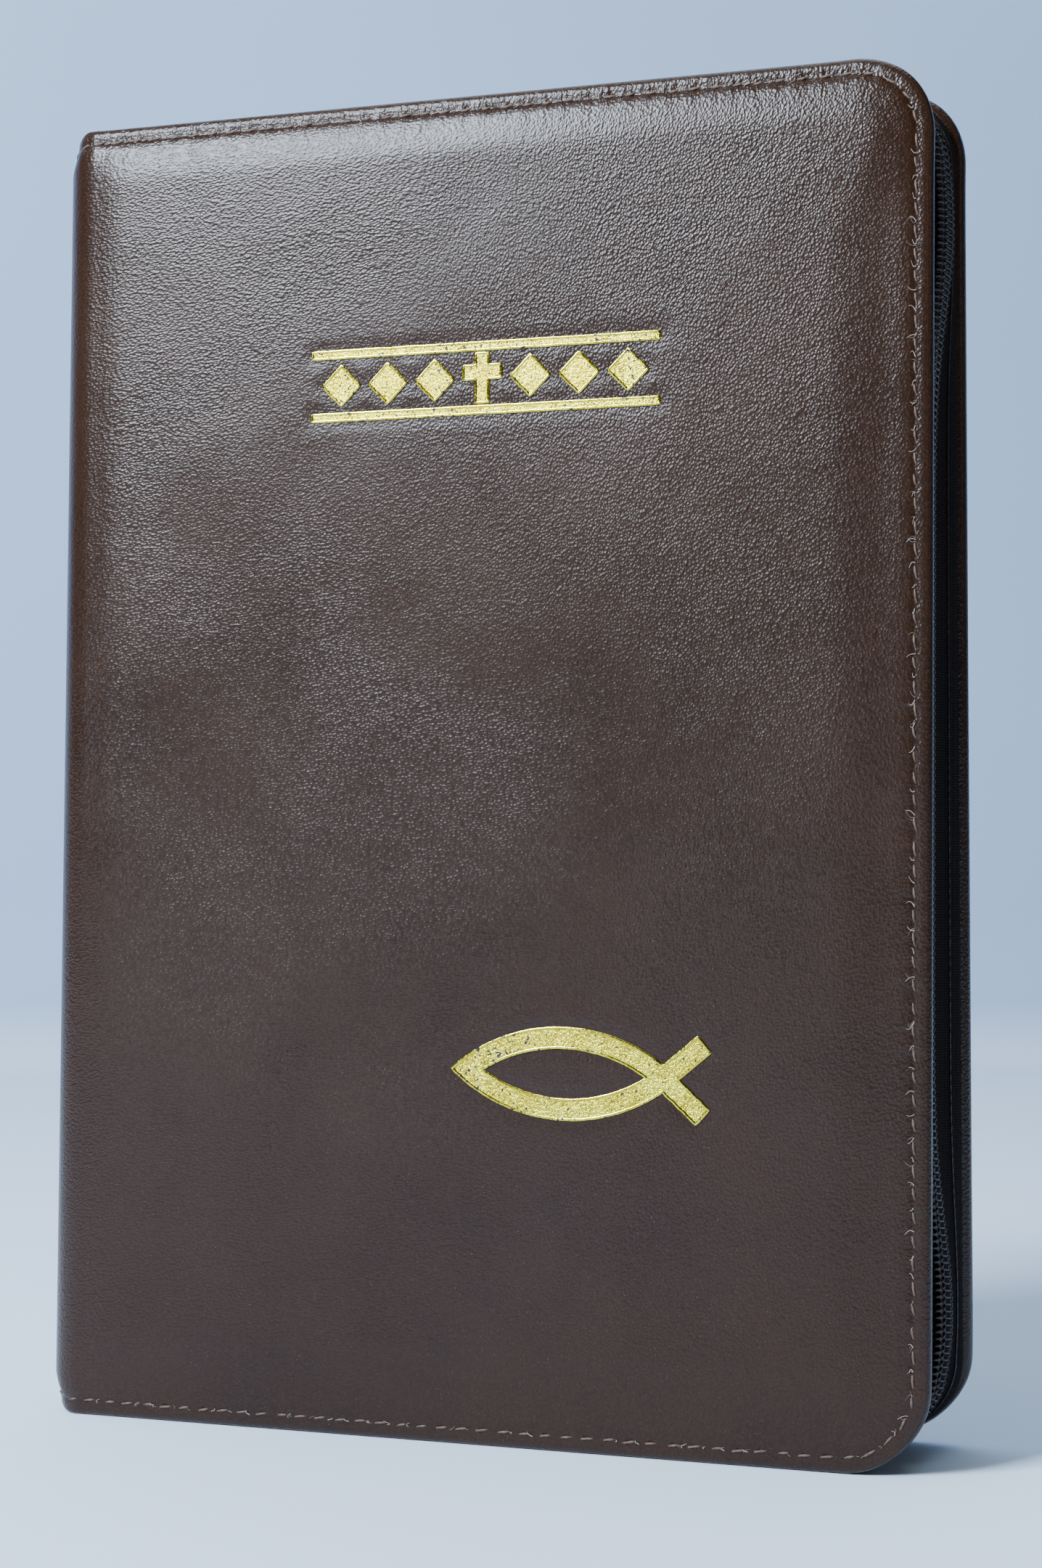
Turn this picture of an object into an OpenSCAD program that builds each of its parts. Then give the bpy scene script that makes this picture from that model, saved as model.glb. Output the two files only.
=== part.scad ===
// A zip-round leather Bible, standing upright on its tail edge.
// X runs from the spine to the fore-edge, Y from the front cover to the back cover, Z upwards.
// The origin is at the middle of the foot. All sizes are in millimetres.

/* [Case] */
// Height of the case, from tail to head
case_h = 212; // [190:1:235]
// Width of the case, from the spine to the fore-edge
case_w = 147; // [130:1:165]
// Thickness of the closed case over both padded covers
case_t = 30; // [30:0.5:36]
// Radius of the covers' two fore-edge corners
corner_r = 12.5; // [11.5:0.5:15]
// Radius of the spine's long corners, seen from above
spine_r = 7; // [6:0.5:7.5]

/* [Covers] */
// Thickness of the outer leather
leather_t = 1.2; // [1:0.1:1.3]
// Height of the soft padding under the front and back leather
pad_t = 1; // [0.8:0.1:1.1]
// Thickness of each cover board
board_t = 1.4; // [1.2:0.1:1.5]
// Width of the leather that is turned in over the board
turn_in_w = 7.5; // [7:0.1:7.6]
// Distance of the seam from the cover's edge
seam_inset = 2.5; // [2.2:0.1:2.8]
// Length of one stitch with its gap
stitch_pitch = 3.4; // [3:0.1:4]

/* [Zip] */
// Distance of the zip tape's outer face from the cover's edge
tape_inset = 1.7; // [1.6:0.1:2]
// Width of one closed coil half
coil_w = 1.95; // [1.8:0.05:2]

/* [Text block] */
// Gap from the pages to the cover's edge, at head and tail
page_margin = 8; // [8:0.5:10]
// Gap from the pages to the cover's edge, at the fore-edge
fore_margin = 9; // [9:0.5:11]
// Thickness of each loose leaf bundle
leaf_t = 0.3; // [0.25:0.05:0.3]
// Thickness of the outer page section on each side
section_1_t = 2.7; // [2.4:0.1:2.7]
// Thickness of the inner page section on each side
section_2_t = 2.8; // [2.4:0.1:2.8]

/* [Hidden] */
$fn = 64;
hull_fn = 32;
eps = 0.01;

// Planes of the case, as distances from its middle plane
half_w = case_w / 2;
face_y = case_t / 2;
band_y = face_y - pad_t;
board_y = band_y - leather_t;
lining_y = board_y - board_t;
lining_t = 0.4;
turn_in_t = 0.8;
flange_y = lining_y - turn_in_t;
tape_t = 0.5;
leg_y = flange_y - tape_t;

// The covers fold on a line near the spine, in the plane of their outer face
hinge_x = -half_w + spine_r + 1.5;
hinge_gap = 0.1;

// The padded crown starts inside the seam and is full a little further in
crown_foot = seam_inset + 0.7;
crown_top = crown_foot + 5;

// The boards stop inside the seam, which only goes through leather and zip tape
board_inset = seam_inset + 1.2;

// Zip
coil_t = 1.2;
coil_gap = 0.45;
tape_edge_y = 0.5;
tape_leg_w = 7;
coil_inset = tape_inset - coil_t;
zip_start_x = hinge_x + 15.7;
zip_end_gap = 0.2;
zip_root_x = -half_w + 5;
zip_end_y = leg_y - 0.1;
stop_len = 2;
stop_x = hinge_x + 1;

// Slider, on the head edge close to the spine
slider_len = 9.6;
slider_w = 6.4;
slider_x = hinge_x + 9;
plate_t = 0.8;
slider_clear = 0.15;
slider_wall = 0.6;
post_w = 0.6;
post_len = 2.8;
coil_top_z = case_h - coil_inset;
tape_top_z = case_h - tape_inset;
plate_top_z = coil_top_z + slider_clear + plate_t;
bridge_half = 1.6;
bridge_w = 1.6;
bridge_leg = 0.7;
bar_r = 0.45;
bar_z = plate_top_z + 0.1 + bar_r;
window_top_z = bar_z + bar_r + 0.1;
bridge_top_z = window_top_z + 0.55;
tab_len = 22;
tab_w = 5;
tab_t = 0.8;
tab_start = 2;

// Text block
leather_gap = 0.3;
block_y = lining_y - lining_t - leather_gap;
page_bottom = page_margin;
page_top = case_h - page_margin;
page_right = half_w - fore_margin;
page_corner_r = 8;
block_x = -half_w + 3.5;
gauze_t = 0.4;
tube_t = 1;
tube_wall = 0.3;
stiffener_t = 0.9;
leaf_hinge_x = hinge_x;
sewn_depth = 2;
leaf_start = 3.2;
ribbon_t = 0.25;
ribbon_gap = 0.3;
ribbon_w = 6;
band_r = 0.9;
band_len = 2 * block_y - 3;

// Outer face of each page group, from the cover inwards
endleaf_y = block_y;
leaf_a_y = endleaf_y - leaf_t;
section_1_y = leaf_a_y - leaf_t;
leaf_b_y = section_1_y - section_1_t;
section_2_y = leaf_b_y - leaf_t;
leaf_c_y = section_2_y - section_2_t;
core_y = leaf_c_y - leaf_t;

// Gold foil on the front cover
foil_depth = 0.2;
foil_t = 0.12;
fish_x = -half_w + 90.3 / 147 * case_w;
fish_z = 58 / 212 * case_h;
fish_half_len = 16;
fish_rise = 5.5;
fish_line = 3;
fish_r = (fish_half_len * fish_half_len + fish_rise * fish_rise) / (2 * fish_rise);
tail_len = 8.3;
tail_angle = 41;
fish_lean = -1.2;
ornament_x = -half_w + 76 / 147 * case_w;
ornament_z = 166.5 / 212 * case_h;
ornament_w = 58;
ornament_h = 11.2;
ornament_rule = 1.1;
ornament_step = 8;
lozenge = 6.4;
cross_w = 6.2;
cross_h = 7.8;
cross_bar = 2.1;

leather_brown = [0.24, 0.16, 0.13];
lining_brown = [0.16, 0.11, 0.1];
thread_brown = [0.32, 0.22, 0.17];
tape_brown = [0.12, 0.09, 0.09];
paper_white = [0.93, 0.9, 0.82];
foil_gold = [0.83, 0.7, 0.32];
metal_bronze = [0.45, 0.38, 0.28];

// ---- Helpers ----

// Extrudes an outline drawn in X and Z from y0 to y1
module along_y(y0, y1) {
    translate([0, y1, 0]) rotate([90, 0, 0]) linear_extrude(y1 - y0) children();
}

// Outline of a cover, square at the spine side and round at the two fore-edge corners
module cover_outline(inset, left) {
    right = half_w - inset;
    r = corner_r - inset;
    low = inset;
    high = case_h - inset;
    translate([left, low]) square([right - r - left, high - low]);
    translate([left, low + r]) square([right - left, high - low - 2 * r]);
    for (z = [low + r, high - r]) translate([right - r, z]) circle(r);
}

// A strip of even width that follows the head, fore-edge and tail of a cover
module edge_strip(inset, width, left) {
    difference() {
        cover_outline(inset, left);
        cover_outline(inset + width, left - 1);
    }
}

// Plan outline of the case at the spine, with its two long corners round
module spine_plan(inset) {
    left = -half_w + inset;
    r = spine_r - inset;
    y = face_y - inset;
    right = hinge_x - hinge_gap;
    intersection() {
        translate([left, -y]) square([right - left, 2 * y]);
        union() {
            translate([left + r, -y]) square([r, 2 * y]);
            translate([left, r - y]) square([2 * r, 2 * (y - r)]);
            for (s = [-1, 1]) translate([left + r, s * (y - r)]) circle(r);
        }
    }
}

// Outline of the pages, with their two fore-edge corners round
module page_outline(left) {
    r = page_corner_r;
    translate([left, page_bottom]) square([page_right - r - left, page_top - page_bottom]);
    translate([left, page_bottom + r])
        square([page_right - left, page_top - page_bottom - 2 * r]);
    for (z = [page_bottom + r, page_top - r]) translate([page_right - r, z]) circle(r);
}

// Draws a front piece in place, or mirrors it to the back
module on_side(back) {
    if (back) mirror([0, 1, 0]) children();
    else children();
}

// ---- Covers, drawn as the front one ----

module crown(foot, top, y0, y1) {
    hull() {
        along_y(-y0, -y0 + 0.3) cover_outline(foot, hinge_x, $fn = hull_fn);
        along_y(-y1, -y1 + eps) cover_outline(top, hinge_x, $fn = hull_fn);
    }
}

module cover_leather() {
    color(leather_brown) difference() {
        union() {
            along_y(-band_y, -flange_y) cover_outline(0, hinge_x);
            crown(crown_foot, crown_top, band_y, face_y);
        }
        along_y(-board_y, -lining_y) cover_outline(board_inset, hinge_x - 1);
        along_y(-lining_y - eps, -flange_y + 1) cover_outline(turn_in_w, hinge_x - 1);
        pad_shape(1);
    }
}

module pad_shape(extra) {
    hull() {
        along_y(-board_y - 0.3, -board_y)
            pad_outline(crown_foot + leather_t * 0.6, extra);
        along_y(-board_y - pad_t, -board_y - pad_t + eps)
            pad_outline(crown_top + 0.4, extra);
    }
}

module pad_outline(inset, extra) {
    cover_outline(inset, hinge_x + 1 - 2 * extra, $fn = hull_fn);
}

module cover_pad() {
    color("dimgray") pad_shape(0);
}

module cover_board() {
    color("tan") along_y(-board_y, -lining_y) cover_outline(board_inset, hinge_x + 1);
}

module cover_lining() {
    color(lining_brown) along_y(-lining_y, -lining_y + lining_t)
        cover_outline(turn_in_w, hinge_x + 0.2);
}

// Lengths along the seam: head run, one corner, fore-edge run
seam_r = corner_r - seam_inset;
run_x = half_w - corner_r - hinge_x;
run_z = case_h - 2 * corner_r;
arc_len = PI / 2 * seam_r;
seam_len = 2 * run_x + run_z + 2 * arc_len;
stitch_count = floor(seam_len / stitch_pitch);

// Place [x, z, turn] of the seam at a distance d from the spine end of the head edge
function seam_at(d) =
    d < run_x ? [hinge_x + d, case_h - seam_inset, 0]
    : d < run_x + arc_len ? seam_corner(90 - (d - run_x) / arc_len * 90)
    : d < run_x + arc_len + run_z
        ? [half_w - seam_inset, case_h - corner_r - (d - run_x - arc_len), 90]
    : d < run_x + 2 * arc_len + run_z
        ? seam_corner(-(d - run_x - arc_len - run_z) / arc_len * 90)
    : [half_w - corner_r - (d - run_x - 2 * arc_len - run_z), seam_inset, 0];

function seam_corner(a) =
    [half_w - corner_r + seam_r * cos(a),
     (a > 0 ? case_h - corner_r : corner_r) + seam_r * sin(a), 90 - a];

module stitch() {
    cube([stitch_pitch * 0.7, 0.35, 0.5], center = true);
}

module cover_stitching() {
    color(thread_brown) for (i = [0 : stitch_count - 1]) {
        p = seam_at((i + 0.5) * seam_len / stitch_count);
        translate([p[0], -band_y - 0.175, p[1]]) rotate([0, p[2], 0]) stitch();
    }
}

// ---- Zip ----

module from_zip_start() {
    intersection() {
        children();
        translate([zip_start_x, -1]) square([case_w, case_h + 2]);
    }
}

module zip_tape() {
    color(tape_brown) union() {
        along_y(-flange_y, -leg_y)
            edge_strip(tape_inset, tape_leg_w - tape_inset, hinge_x);
        along_y(-leg_y - eps, -tape_edge_y)
            from_zip_start() edge_strip(tape_inset, tape_t, hinge_x);
    }
}

module zip_coil() {
    color("black") along_y(-coil_gap - coil_w, -coil_gap)
        from_zip_start() edge_strip(coil_inset, coil_t, hinge_x);
}

// The last stretch of both tapes, which stays with the spine when the covers open
module zip_end_tape() {
    z = tape_top_z - tape_t;
    len = zip_start_x - zip_end_gap - zip_root_x;
    color(tape_brown) for (s = [0, 1]) mirror([0, s, 0])
        translate([zip_root_x, tape_edge_y, z]) cube([len, zip_end_y - tape_edge_y, tape_t]);
}

module zip_end_coil() {
    x = stop_x + stop_len;
    color("black") for (s = [0, 1]) mirror([0, s, 0])
        translate([x, coil_gap, tape_top_z])
            cube([zip_start_x - zip_end_gap - x, coil_w, coil_t]);
}

module at_tail() {
    translate([0, 0, case_h]) mirror([0, 0, 1]) children();
}

module head_stops() {
    color(metal_bronze) for (s = [0, 1]) mirror([0, s, 0])
        translate([stop_x, coil_gap, tape_top_z]) cube([stop_len - 0.1, coil_w + 0.2, coil_t]);
}

module tail_stop() {
    w = 2 * (coil_gap + coil_w + 0.2);
    color(metal_bronze) at_tail()
        translate([stop_x, -w / 2, tape_top_z]) cube([stop_len - 0.1, w, coil_t]);
}

// ---- Slider and pull tab ----

module rounded_plate(len, wide, r) {
    translate([-len / 2 + r, -wide / 2]) square([len - 2 * r, wide]);
    translate([-len / 2, -wide / 2 + r]) square([len, wide - 2 * r]);
    for (sx = [-1, 1], sy = [-1, 1])
        translate([sx * (len / 2 - r), sy * (wide / 2 - r)]) circle(r);
}

module slider_body() {
    low_z = tape_top_z - tape_t - slider_clear - plate_t;
    skirt_z = tape_top_z + 0.2;
    color(metal_bronze) translate([slider_x, 0, 0]) union() {
        translate([0, 0, low_z]) linear_extrude(plate_t)
            rounded_plate(slider_len, slider_w, 1.5);
        translate([0, 0, plate_top_z - plate_t]) linear_extrude(plate_t)
            rounded_plate(slider_len, slider_w, 1.5);
        for (s = [-1, 1])
            translate([-slider_len / 2 + 1.5, s * (slider_w - slider_wall) / 2 - slider_wall / 2,
                       skirt_z])
                cube([slider_len - 3, slider_wall, plate_top_z - skirt_z - 0.1]);
        translate([-slider_len / 2, -post_w / 2, low_z + 0.1])
            cube([post_len, post_w, plate_top_z - low_z - 0.2]);
        bridge();
    }
}

module bridge() {
    difference() {
        translate([-bridge_half, -bridge_w / 2, plate_top_z - 0.1])
            cube([2 * bridge_half, bridge_w, bridge_top_z - plate_top_z + 0.1]);
        translate([bridge_leg - bridge_half, -bridge_w, plate_top_z])
            cube([2 * (bridge_half - bridge_leg), 2 * bridge_w, window_top_z - plate_top_z]);
    }
}

module pull_tab() {
    arm_y = bridge_w / 2 + 0.15;
    arm_w = 0.75;
    color(metal_bronze) translate([slider_x, 0, bar_z]) union() {
        rotate([90, 0, 0]) cylinder(h = 2 * (arm_y + arm_w), r = bar_r, center = true);
        for (s = [0, 1]) mirror([0, s, 0])
            translate([0, arm_y, -tab_t / 2]) cube([tab_start + 0.5, arm_w, tab_t]);
        translate([0, 0, -tab_t / 2]) linear_extrude(tab_t) difference() {
            translate([(tab_start + tab_len) / 2, 0])
                rounded_plate(tab_len - tab_start, tab_w, 1.6);
            translate([tab_len - 4, 0]) circle(1.3);
        }
    }
}

// ---- Spine ----

module spine_leather() {
    color(leather_brown) difference() {
        union() {
            linear_extrude(case_h) spine_plan(pad_t);
            translate([0, 0, crown_foot]) linear_extrude(case_h - 2 * crown_foot)
                spine_plan(0);
        }
        translate([0, 0, -1]) linear_extrude(case_h + 2) spine_cavity(pad_t + 2);
        translate([0, 0, turn_in_w]) linear_extrude(case_h - 2 * turn_in_w)
            spine_cavity(leather_t);
    }
}

// The hollow inside the spine, open towards the pages
module spine_cavity(inset) {
    spine_plan(inset);
    translate([hinge_x - 1, inset - face_y]) square([2, 2 * (face_y - inset)]);
}

module spine_stiffener() {
    z = page_margin;
    w = 2 * (face_y - spine_r);
    color("tan") translate([-half_w + leather_t, -w / 2, z])
        cube([stiffener_t, w, case_h - 2 * z]);
}

module spine_hollow_tube() {
    w = 2 * (block_y - 1.5);
    x = block_x - gauze_t - tube_t;
    z = page_margin + 2;
    color("burlywood") difference() {
        translate([x, -w / 2, z]) cube([tube_t, w, case_h - 2 * z]);
        translate([x + tube_wall, -w / 2 + tube_wall, z - 1])
            cube([tube_t - 2 * tube_wall, w - 2 * tube_wall, case_h]);
    }
}

module spine_gauze() {
    z = page_margin + 3;
    color("linen") translate([block_x - gauze_t, -block_y, z])
        cube([gauze_t, 2 * block_y, case_h - 2 * z]);
}

// Plan path of the spine seam: [x, y, turn] at a distance d from the front hinge line
end_face = face_y - pad_t;
end_r = spine_r - pad_t;
spine_flat = 1.5 - hinge_gap;
spine_arc = PI / 2 * end_r;
spine_mid = 2 * (face_y - spine_r);
spine_seam_len = 2 * (spine_flat + spine_arc) + spine_mid;
spine_stitches = floor(spine_seam_len / stitch_pitch);

function spine_seam_at(d) =
    d < spine_flat ? [hinge_x - hinge_gap - d, -end_face, 0]
    : d < spine_flat + spine_arc ? spine_corner((d - spine_flat) / spine_arc * 90)
    : d < spine_flat + spine_arc + spine_mid
        ? [pad_t - half_w, d - spine_flat - spine_arc - spine_mid / 2, 90]
    : d < spine_flat + 2 * spine_arc + spine_mid
        ? spine_corner(90 + (d - spine_flat - spine_arc - spine_mid) / spine_arc * 90)
    : [hinge_x - hinge_gap - (spine_seam_len - d), end_face, 0];

// A point on the spine's rounded corners; a runs from 0 at the front to 180 at the back
function spine_corner(a) =
    [spine_r - half_w - end_r * sin(a),
     (a < 90 ? spine_r - face_y : face_y - spine_r) - end_r * cos(a), -a];

module spine_stitching() {
    lift = 0.26;
    color(thread_brown) for (z = [seam_inset, case_h - seam_inset], i = [0 : spine_stitches - 1]) {
        d = (i + 0.5) * spine_seam_len / spine_stitches;
        p = spine_seam_at(d);
        on_arc = abs(d - spine_seam_len / 2) > spine_mid / 2
            && abs(d - spine_seam_len / 2) < spine_mid / 2 + spine_arc;
        translate([p[0], p[1], z]) rotate([0, 0, p[2]])
            translate([0, spine_side(d) * (on_arc ? lift : 0.175), 0])
                cube([stitch_pitch * 0.5, 0.35, 0.5], center = true);
    }
}

// Which way the surface faces in the turned stitch's own frame
function spine_side(d) =
    d < spine_flat + spine_arc ? -1
    : d < spine_flat + spine_arc + spine_mid ? 1
    : d < spine_flat + 2 * spine_arc + spine_mid ? -1 : 1;

// ---- Text block ----

module page_band() {
    color("ivory") union() {
        translate([block_x + band_r, 0, page_top + band_r]) rotate([90, 0, 0])
            cylinder(h = band_len, r = band_r, center = true);
        translate([block_x, -band_len / 2, page_top]) cube([band_r, band_len, band_r]);
    }
}

module sewn_page_backs() {
    color(paper_white) translate([block_x, -block_y, page_bottom])
        cube([leaf_hinge_x + sewn_depth - block_x, 2 * block_y, page_top - page_bottom]);
}

module page_core() {
    color(paper_white) along_y(ribbon_gap - core_y, core_y)
        page_outline(leaf_hinge_x + sewn_depth);
}

// One bundle of pages that turns: its outer face is at y and it is t thick
module pages(y, t) {
    color(paper_white) along_y(-y, t - y) page_outline(leaf_hinge_x + leaf_start);
}

// A flat ribbon laid slantwise on the core's front page, its cut end below the tail edge
module ribbon_marker() {
    head_x = leaf_hinge_x + 5;
    tail_x = head_x + 34;
    drop = 3.4;
    color("darkred") along_y(ribbon_gap - core_y - ribbon_t, ribbon_gap - core_y)
        polygon([
            [head_x, page_top - 0.5], [head_x + ribbon_w, page_top - 0.5],
            [tail_x + ribbon_w, page_bottom - drop + 1], [tail_x + ribbon_w / 2, page_bottom - drop],
            [tail_x, page_bottom - drop + 1]
        ]);
}

// ---- Gold foil ----

module fish_outline() {
    centre = fish_r - fish_rise;
    for (s = [-1, 1]) {
        intersection() {
            translate([0, -s * centre]) difference() {
                circle(fish_r + fish_line / 2, $fn = 180);
                circle(fish_r - fish_line / 2, $fn = 180);
            }
            translate([-2 * fish_half_len, s > 0 ? 0 : -2 * fish_rise])
                square([4 * fish_half_len, 2 * fish_rise]);
        }
        translate([fish_half_len, 0]) rotate(s * tail_angle)
            translate([-1.2, -fish_line / 2]) square([tail_len + 1.2, fish_line]);
    }
}

module ornament_outline() {
    for (s = [-1, 1]) {
        translate([-ornament_w / 2, s * (ornament_h - ornament_rule) / 2 - ornament_rule / 2])
            square([ornament_w, ornament_rule]);
        for (i = [1 : 3]) translate([s * i * ornament_step, 0]) rotate(45)
            square(lozenge / sqrt(2), center = true);
    }
    square([cross_bar, cross_h], center = true);
    translate([0, cross_h * 0.12]) square([cross_w, cross_bar], center = true);
}

module place_fish() {
    translate([fish_x, fish_z]) rotate(fish_lean) fish_outline();
}

module place_ornament() {
    translate([ornament_x, ornament_z]) ornament_outline();
}

module foil_pockets() {
    along_y(-face_y - 1, -face_y + foil_depth) place_fish();
    along_y(-face_y - 1, -face_y + foil_depth) place_ornament();
}

module foil() {
    color(foil_gold) along_y(-face_y + foil_depth - foil_t, -face_y + foil_depth) children();
}

// ---- Nodes ----

module front_leather() {
    color(leather_brown) difference() {
        cover_leather();
        foil_pockets();
    }
}

front_leather();
cover_pad();  // front_pad
cover_board();  // front_board
cover_lining();  // front_lining
cover_stitching();  // front_stitching
zip_tape();  // front_zip_tape
zip_coil();  // front_zip_coil
foil() place_fish();  // fish_emblem
foil() place_ornament();  // title_ornament
on_side(true) cover_leather();  // back_leather
on_side(true) cover_pad();  // back_pad
on_side(true) cover_board();  // back_board
on_side(true) cover_lining();  // back_lining
on_side(true) cover_stitching();  // back_stitching
on_side(true) zip_tape();  // back_zip_tape
on_side(true) zip_coil();  // back_zip_coil
spine_leather();
spine_stiffener();
spine_hollow_tube();
spine_gauze();
spine_stitching();
page_band();  // head_band
at_tail() page_band();  // tail_band
sewn_page_backs();
page_core();
ribbon_marker();
zip_end_tape();  // head_zip_end_tape
zip_end_coil();  // head_zip_end_coil
head_stops();  // head_zip_stops
at_tail() zip_end_tape();  // tail_zip_end_tape
at_tail() zip_end_coil();  // tail_zip_end_coil
tail_stop();  // tail_zip_stop
slider_body();
pull_tab();
pages(endleaf_y, leaf_t);  // front_endleaf
pages(leaf_a_y, leaf_t);  // front_leaf_a
pages(section_1_y, section_1_t);  // front_section_1
pages(leaf_b_y, leaf_t);  // front_leaf_b
pages(section_2_y, section_2_t);  // front_section_2
pages(leaf_c_y, leaf_t);  // front_leaf_c
on_side(true) pages(endleaf_y, leaf_t);  // back_endleaf
on_side(true) pages(leaf_a_y, leaf_t);  // back_leaf_a
on_side(true) pages(section_1_y, section_1_t);  // back_section_1
on_side(true) pages(leaf_b_y, leaf_t);  // back_leaf_b
on_side(true) pages(section_2_y, section_2_t);  // back_section_2
on_side(true) pages(leaf_c_y, leaf_t);  // back_leaf_c
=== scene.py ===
import math

import bpy
import numpy as np
from mathutils import Matrix, Vector


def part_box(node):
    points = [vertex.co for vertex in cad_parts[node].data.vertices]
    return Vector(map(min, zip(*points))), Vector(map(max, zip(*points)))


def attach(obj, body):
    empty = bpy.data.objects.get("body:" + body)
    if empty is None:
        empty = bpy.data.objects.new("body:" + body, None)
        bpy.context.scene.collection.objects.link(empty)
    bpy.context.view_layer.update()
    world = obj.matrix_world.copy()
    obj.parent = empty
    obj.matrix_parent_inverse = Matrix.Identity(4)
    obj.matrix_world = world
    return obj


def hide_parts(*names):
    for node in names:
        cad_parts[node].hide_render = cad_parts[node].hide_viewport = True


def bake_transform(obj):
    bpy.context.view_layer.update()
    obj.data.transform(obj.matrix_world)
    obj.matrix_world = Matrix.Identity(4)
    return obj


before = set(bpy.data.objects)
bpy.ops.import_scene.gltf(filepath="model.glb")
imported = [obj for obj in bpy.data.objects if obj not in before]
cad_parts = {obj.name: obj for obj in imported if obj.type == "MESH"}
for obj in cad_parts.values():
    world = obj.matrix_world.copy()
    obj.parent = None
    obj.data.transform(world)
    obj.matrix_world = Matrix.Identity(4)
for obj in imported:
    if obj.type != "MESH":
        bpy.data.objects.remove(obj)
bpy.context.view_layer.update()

MM = 0.001

# ---- sizes, in millimetres
ROOT, FRONT, BACK = "spine_and_block", "front_cover", "back_cover"
COVERS = ((-1, FRONT, "front"), (1, BACK, "back"))


def box_mm(node):
    low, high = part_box(node)
    return np.array(low) / MM, np.array(high) / MM


LEATHER_LOW, LEATHER_HIGH = box_mm("front_leather")
HALF_W, CASE_H, HINGE_X = LEATHER_HIGH[0], LEATHER_HIGH[2], LEATHER_LOW[0]
FACE_Y = -LEATHER_LOW[1]
FLANGE_Y = -LEATHER_HIGH[1]
LINING_Y, BOARD_Y = [(-box_mm(node)[1][1], -box_mm(node)[0][1]) for node in ("front_lining", "front_board")]
PAGE_LOW, PAGE_HIGH = box_mm("page_core")
BACKS_X = box_mm("sewn_page_backs")[1][0]

CROWN = 1.0                     # the padding lifts the panel this far above the sewn band
BAND_Y = FACE_Y - CROWN
CORNER_R = 12.5
SPINE_R = 7.0 - CROWN           # plan radius of the band at the spine's long corners
SPINE_FLAT = FACE_Y - 7.0       # half the flat middle of the spine
SPINE_X = -HALF_W + CROWN
EDGE_T = BAND_Y - FLANGE_Y      # thickness of the covers' rim
SPINE_T = 2.0                   # thickness of the spine's rim
TURN_IN = 7.5
SEAM = 2.5                      # seam to edge
STITCH = 3.4
ARC = math.pi / 2 * SPINE_R
RUN = SPINE_FLAT + ARC + HALF_W - SPINE_X - SPINE_R     # spine's middle to fore-edge, along the leather
FOLD = (HINGE_X - 1.5, HINGE_X + 4.0)                   # the leather's fold lies between these; nothing here bends it


def point(x, y, z):
    return (x * MM, y * MM, z * MM)


def smooth(t):
    """Nought to one with a soft start and end."""
    t = np.clip(t, 0.0, 1.0)
    return t * t * (3 - 2 * t)


def spans(*parts):
    """Places along a line, from (start, end, count) of each part. Parts share their meeting places."""
    return np.append(np.concatenate([np.linspace(*part)[:-1] for part in parts]), parts[-1][1])


# ---- noise, the same on every run
def lattice(ix, iy, iz, seed):
    h = (ix * 374761393 + iy * 668265263 + iz * 2147483647 + seed * 974634777) & 0xFFFFFFFF
    h = ((h ^ (h >> 13)) * 1274126177) & 0xFFFFFFFF
    h = (h ^ (h >> 16)) & 0xFFFFFFFF
    return h / 2147483648.0 - 1.0


def noise(p, wavelength, seed=0):
    """Smooth value noise from -1 to 1 at points p (n, 3)."""
    q = np.asarray(p, float) / wavelength
    cell = np.floor(q).astype(np.int64)
    f = q - cell
    f = f * f * (3 - 2 * f)
    out = 0.0
    for dx in (0, 1):
        for dy in (0, 1):
            for dz in (0, 1):
                w = (f[:, 0] if dx else 1 - f[:, 0])
                w = w * (f[:, 1] if dy else 1 - f[:, 1])
                w = w * (f[:, 2] if dz else 1 - f[:, 2])
                out = out + w * lattice(cell[:, 0] + dx, cell[:, 1] + dy, cell[:, 2] + dz, seed)
    return out


# ---- mesh helpers
def make_piece(name, verts, faces, material, sharp=35.0):
    """A mesh object from vertices in millimetres. It keeps its rest places for the materials."""
    mesh = bpy.data.meshes.new(name)
    verts = np.asarray(verts, float) * MM
    mesh.from_pydata(verts.tolist(), [], [list(map(int, f)) for f in faces])
    mesh.validate()
    mesh.update()
    mesh.polygons.foreach_set("use_smooth", [True] * len(mesh.polygons))
    mesh.set_sharp_from_angle(angle=math.radians(sharp))
    rest = mesh.attributes.new("rest", "FLOAT_VECTOR", "POINT")
    co = np.zeros(len(mesh.vertices) * 3, np.float32)
    mesh.vertices.foreach_get("co", co)
    rest.data.foreach_set("vector", co)
    mesh.materials.append(material)
    obj = bpy.data.objects.new(name, mesh)
    bpy.context.scene.collection.objects.link(obj)
    return obj


def assign(obj, body, slot, *nodes):
    """The body that a piece rides on, and the CAD nodes that it stands for; slot is not used."""
    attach(obj, body)
    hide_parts(*nodes)


def sweep(rings, closed=False, cap=True):
    """Joins rings (n, m, 3) of a closed cross-section. Returns vertices and faces."""
    rings = np.asarray(rings, float)
    n, m = rings.shape[:2]
    faces = []
    for i in range(n if closed else n - 1):
        a, b = i * m, ((i + 1) % n) * m
        for j in range(m):
            k = (j + 1) % m
            faces.append((a + j, a + k, b + k, b + j))
    if cap and not closed:
        faces.append(tuple(range(m))[::-1])
        faces.append(tuple((n - 1) * m + j for j in range(m)))
    return rings.reshape(-1, 3), faces


def merge(parts):
    """Several (vertices, faces) as one."""
    verts, faces, base = [], [], 0
    for v, f in parts:
        verts.append(np.asarray(v, float))
        faces += [tuple(base + i for i in face) for face in f]
        base += len(v)
    return np.concatenate(verts), faces


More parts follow.
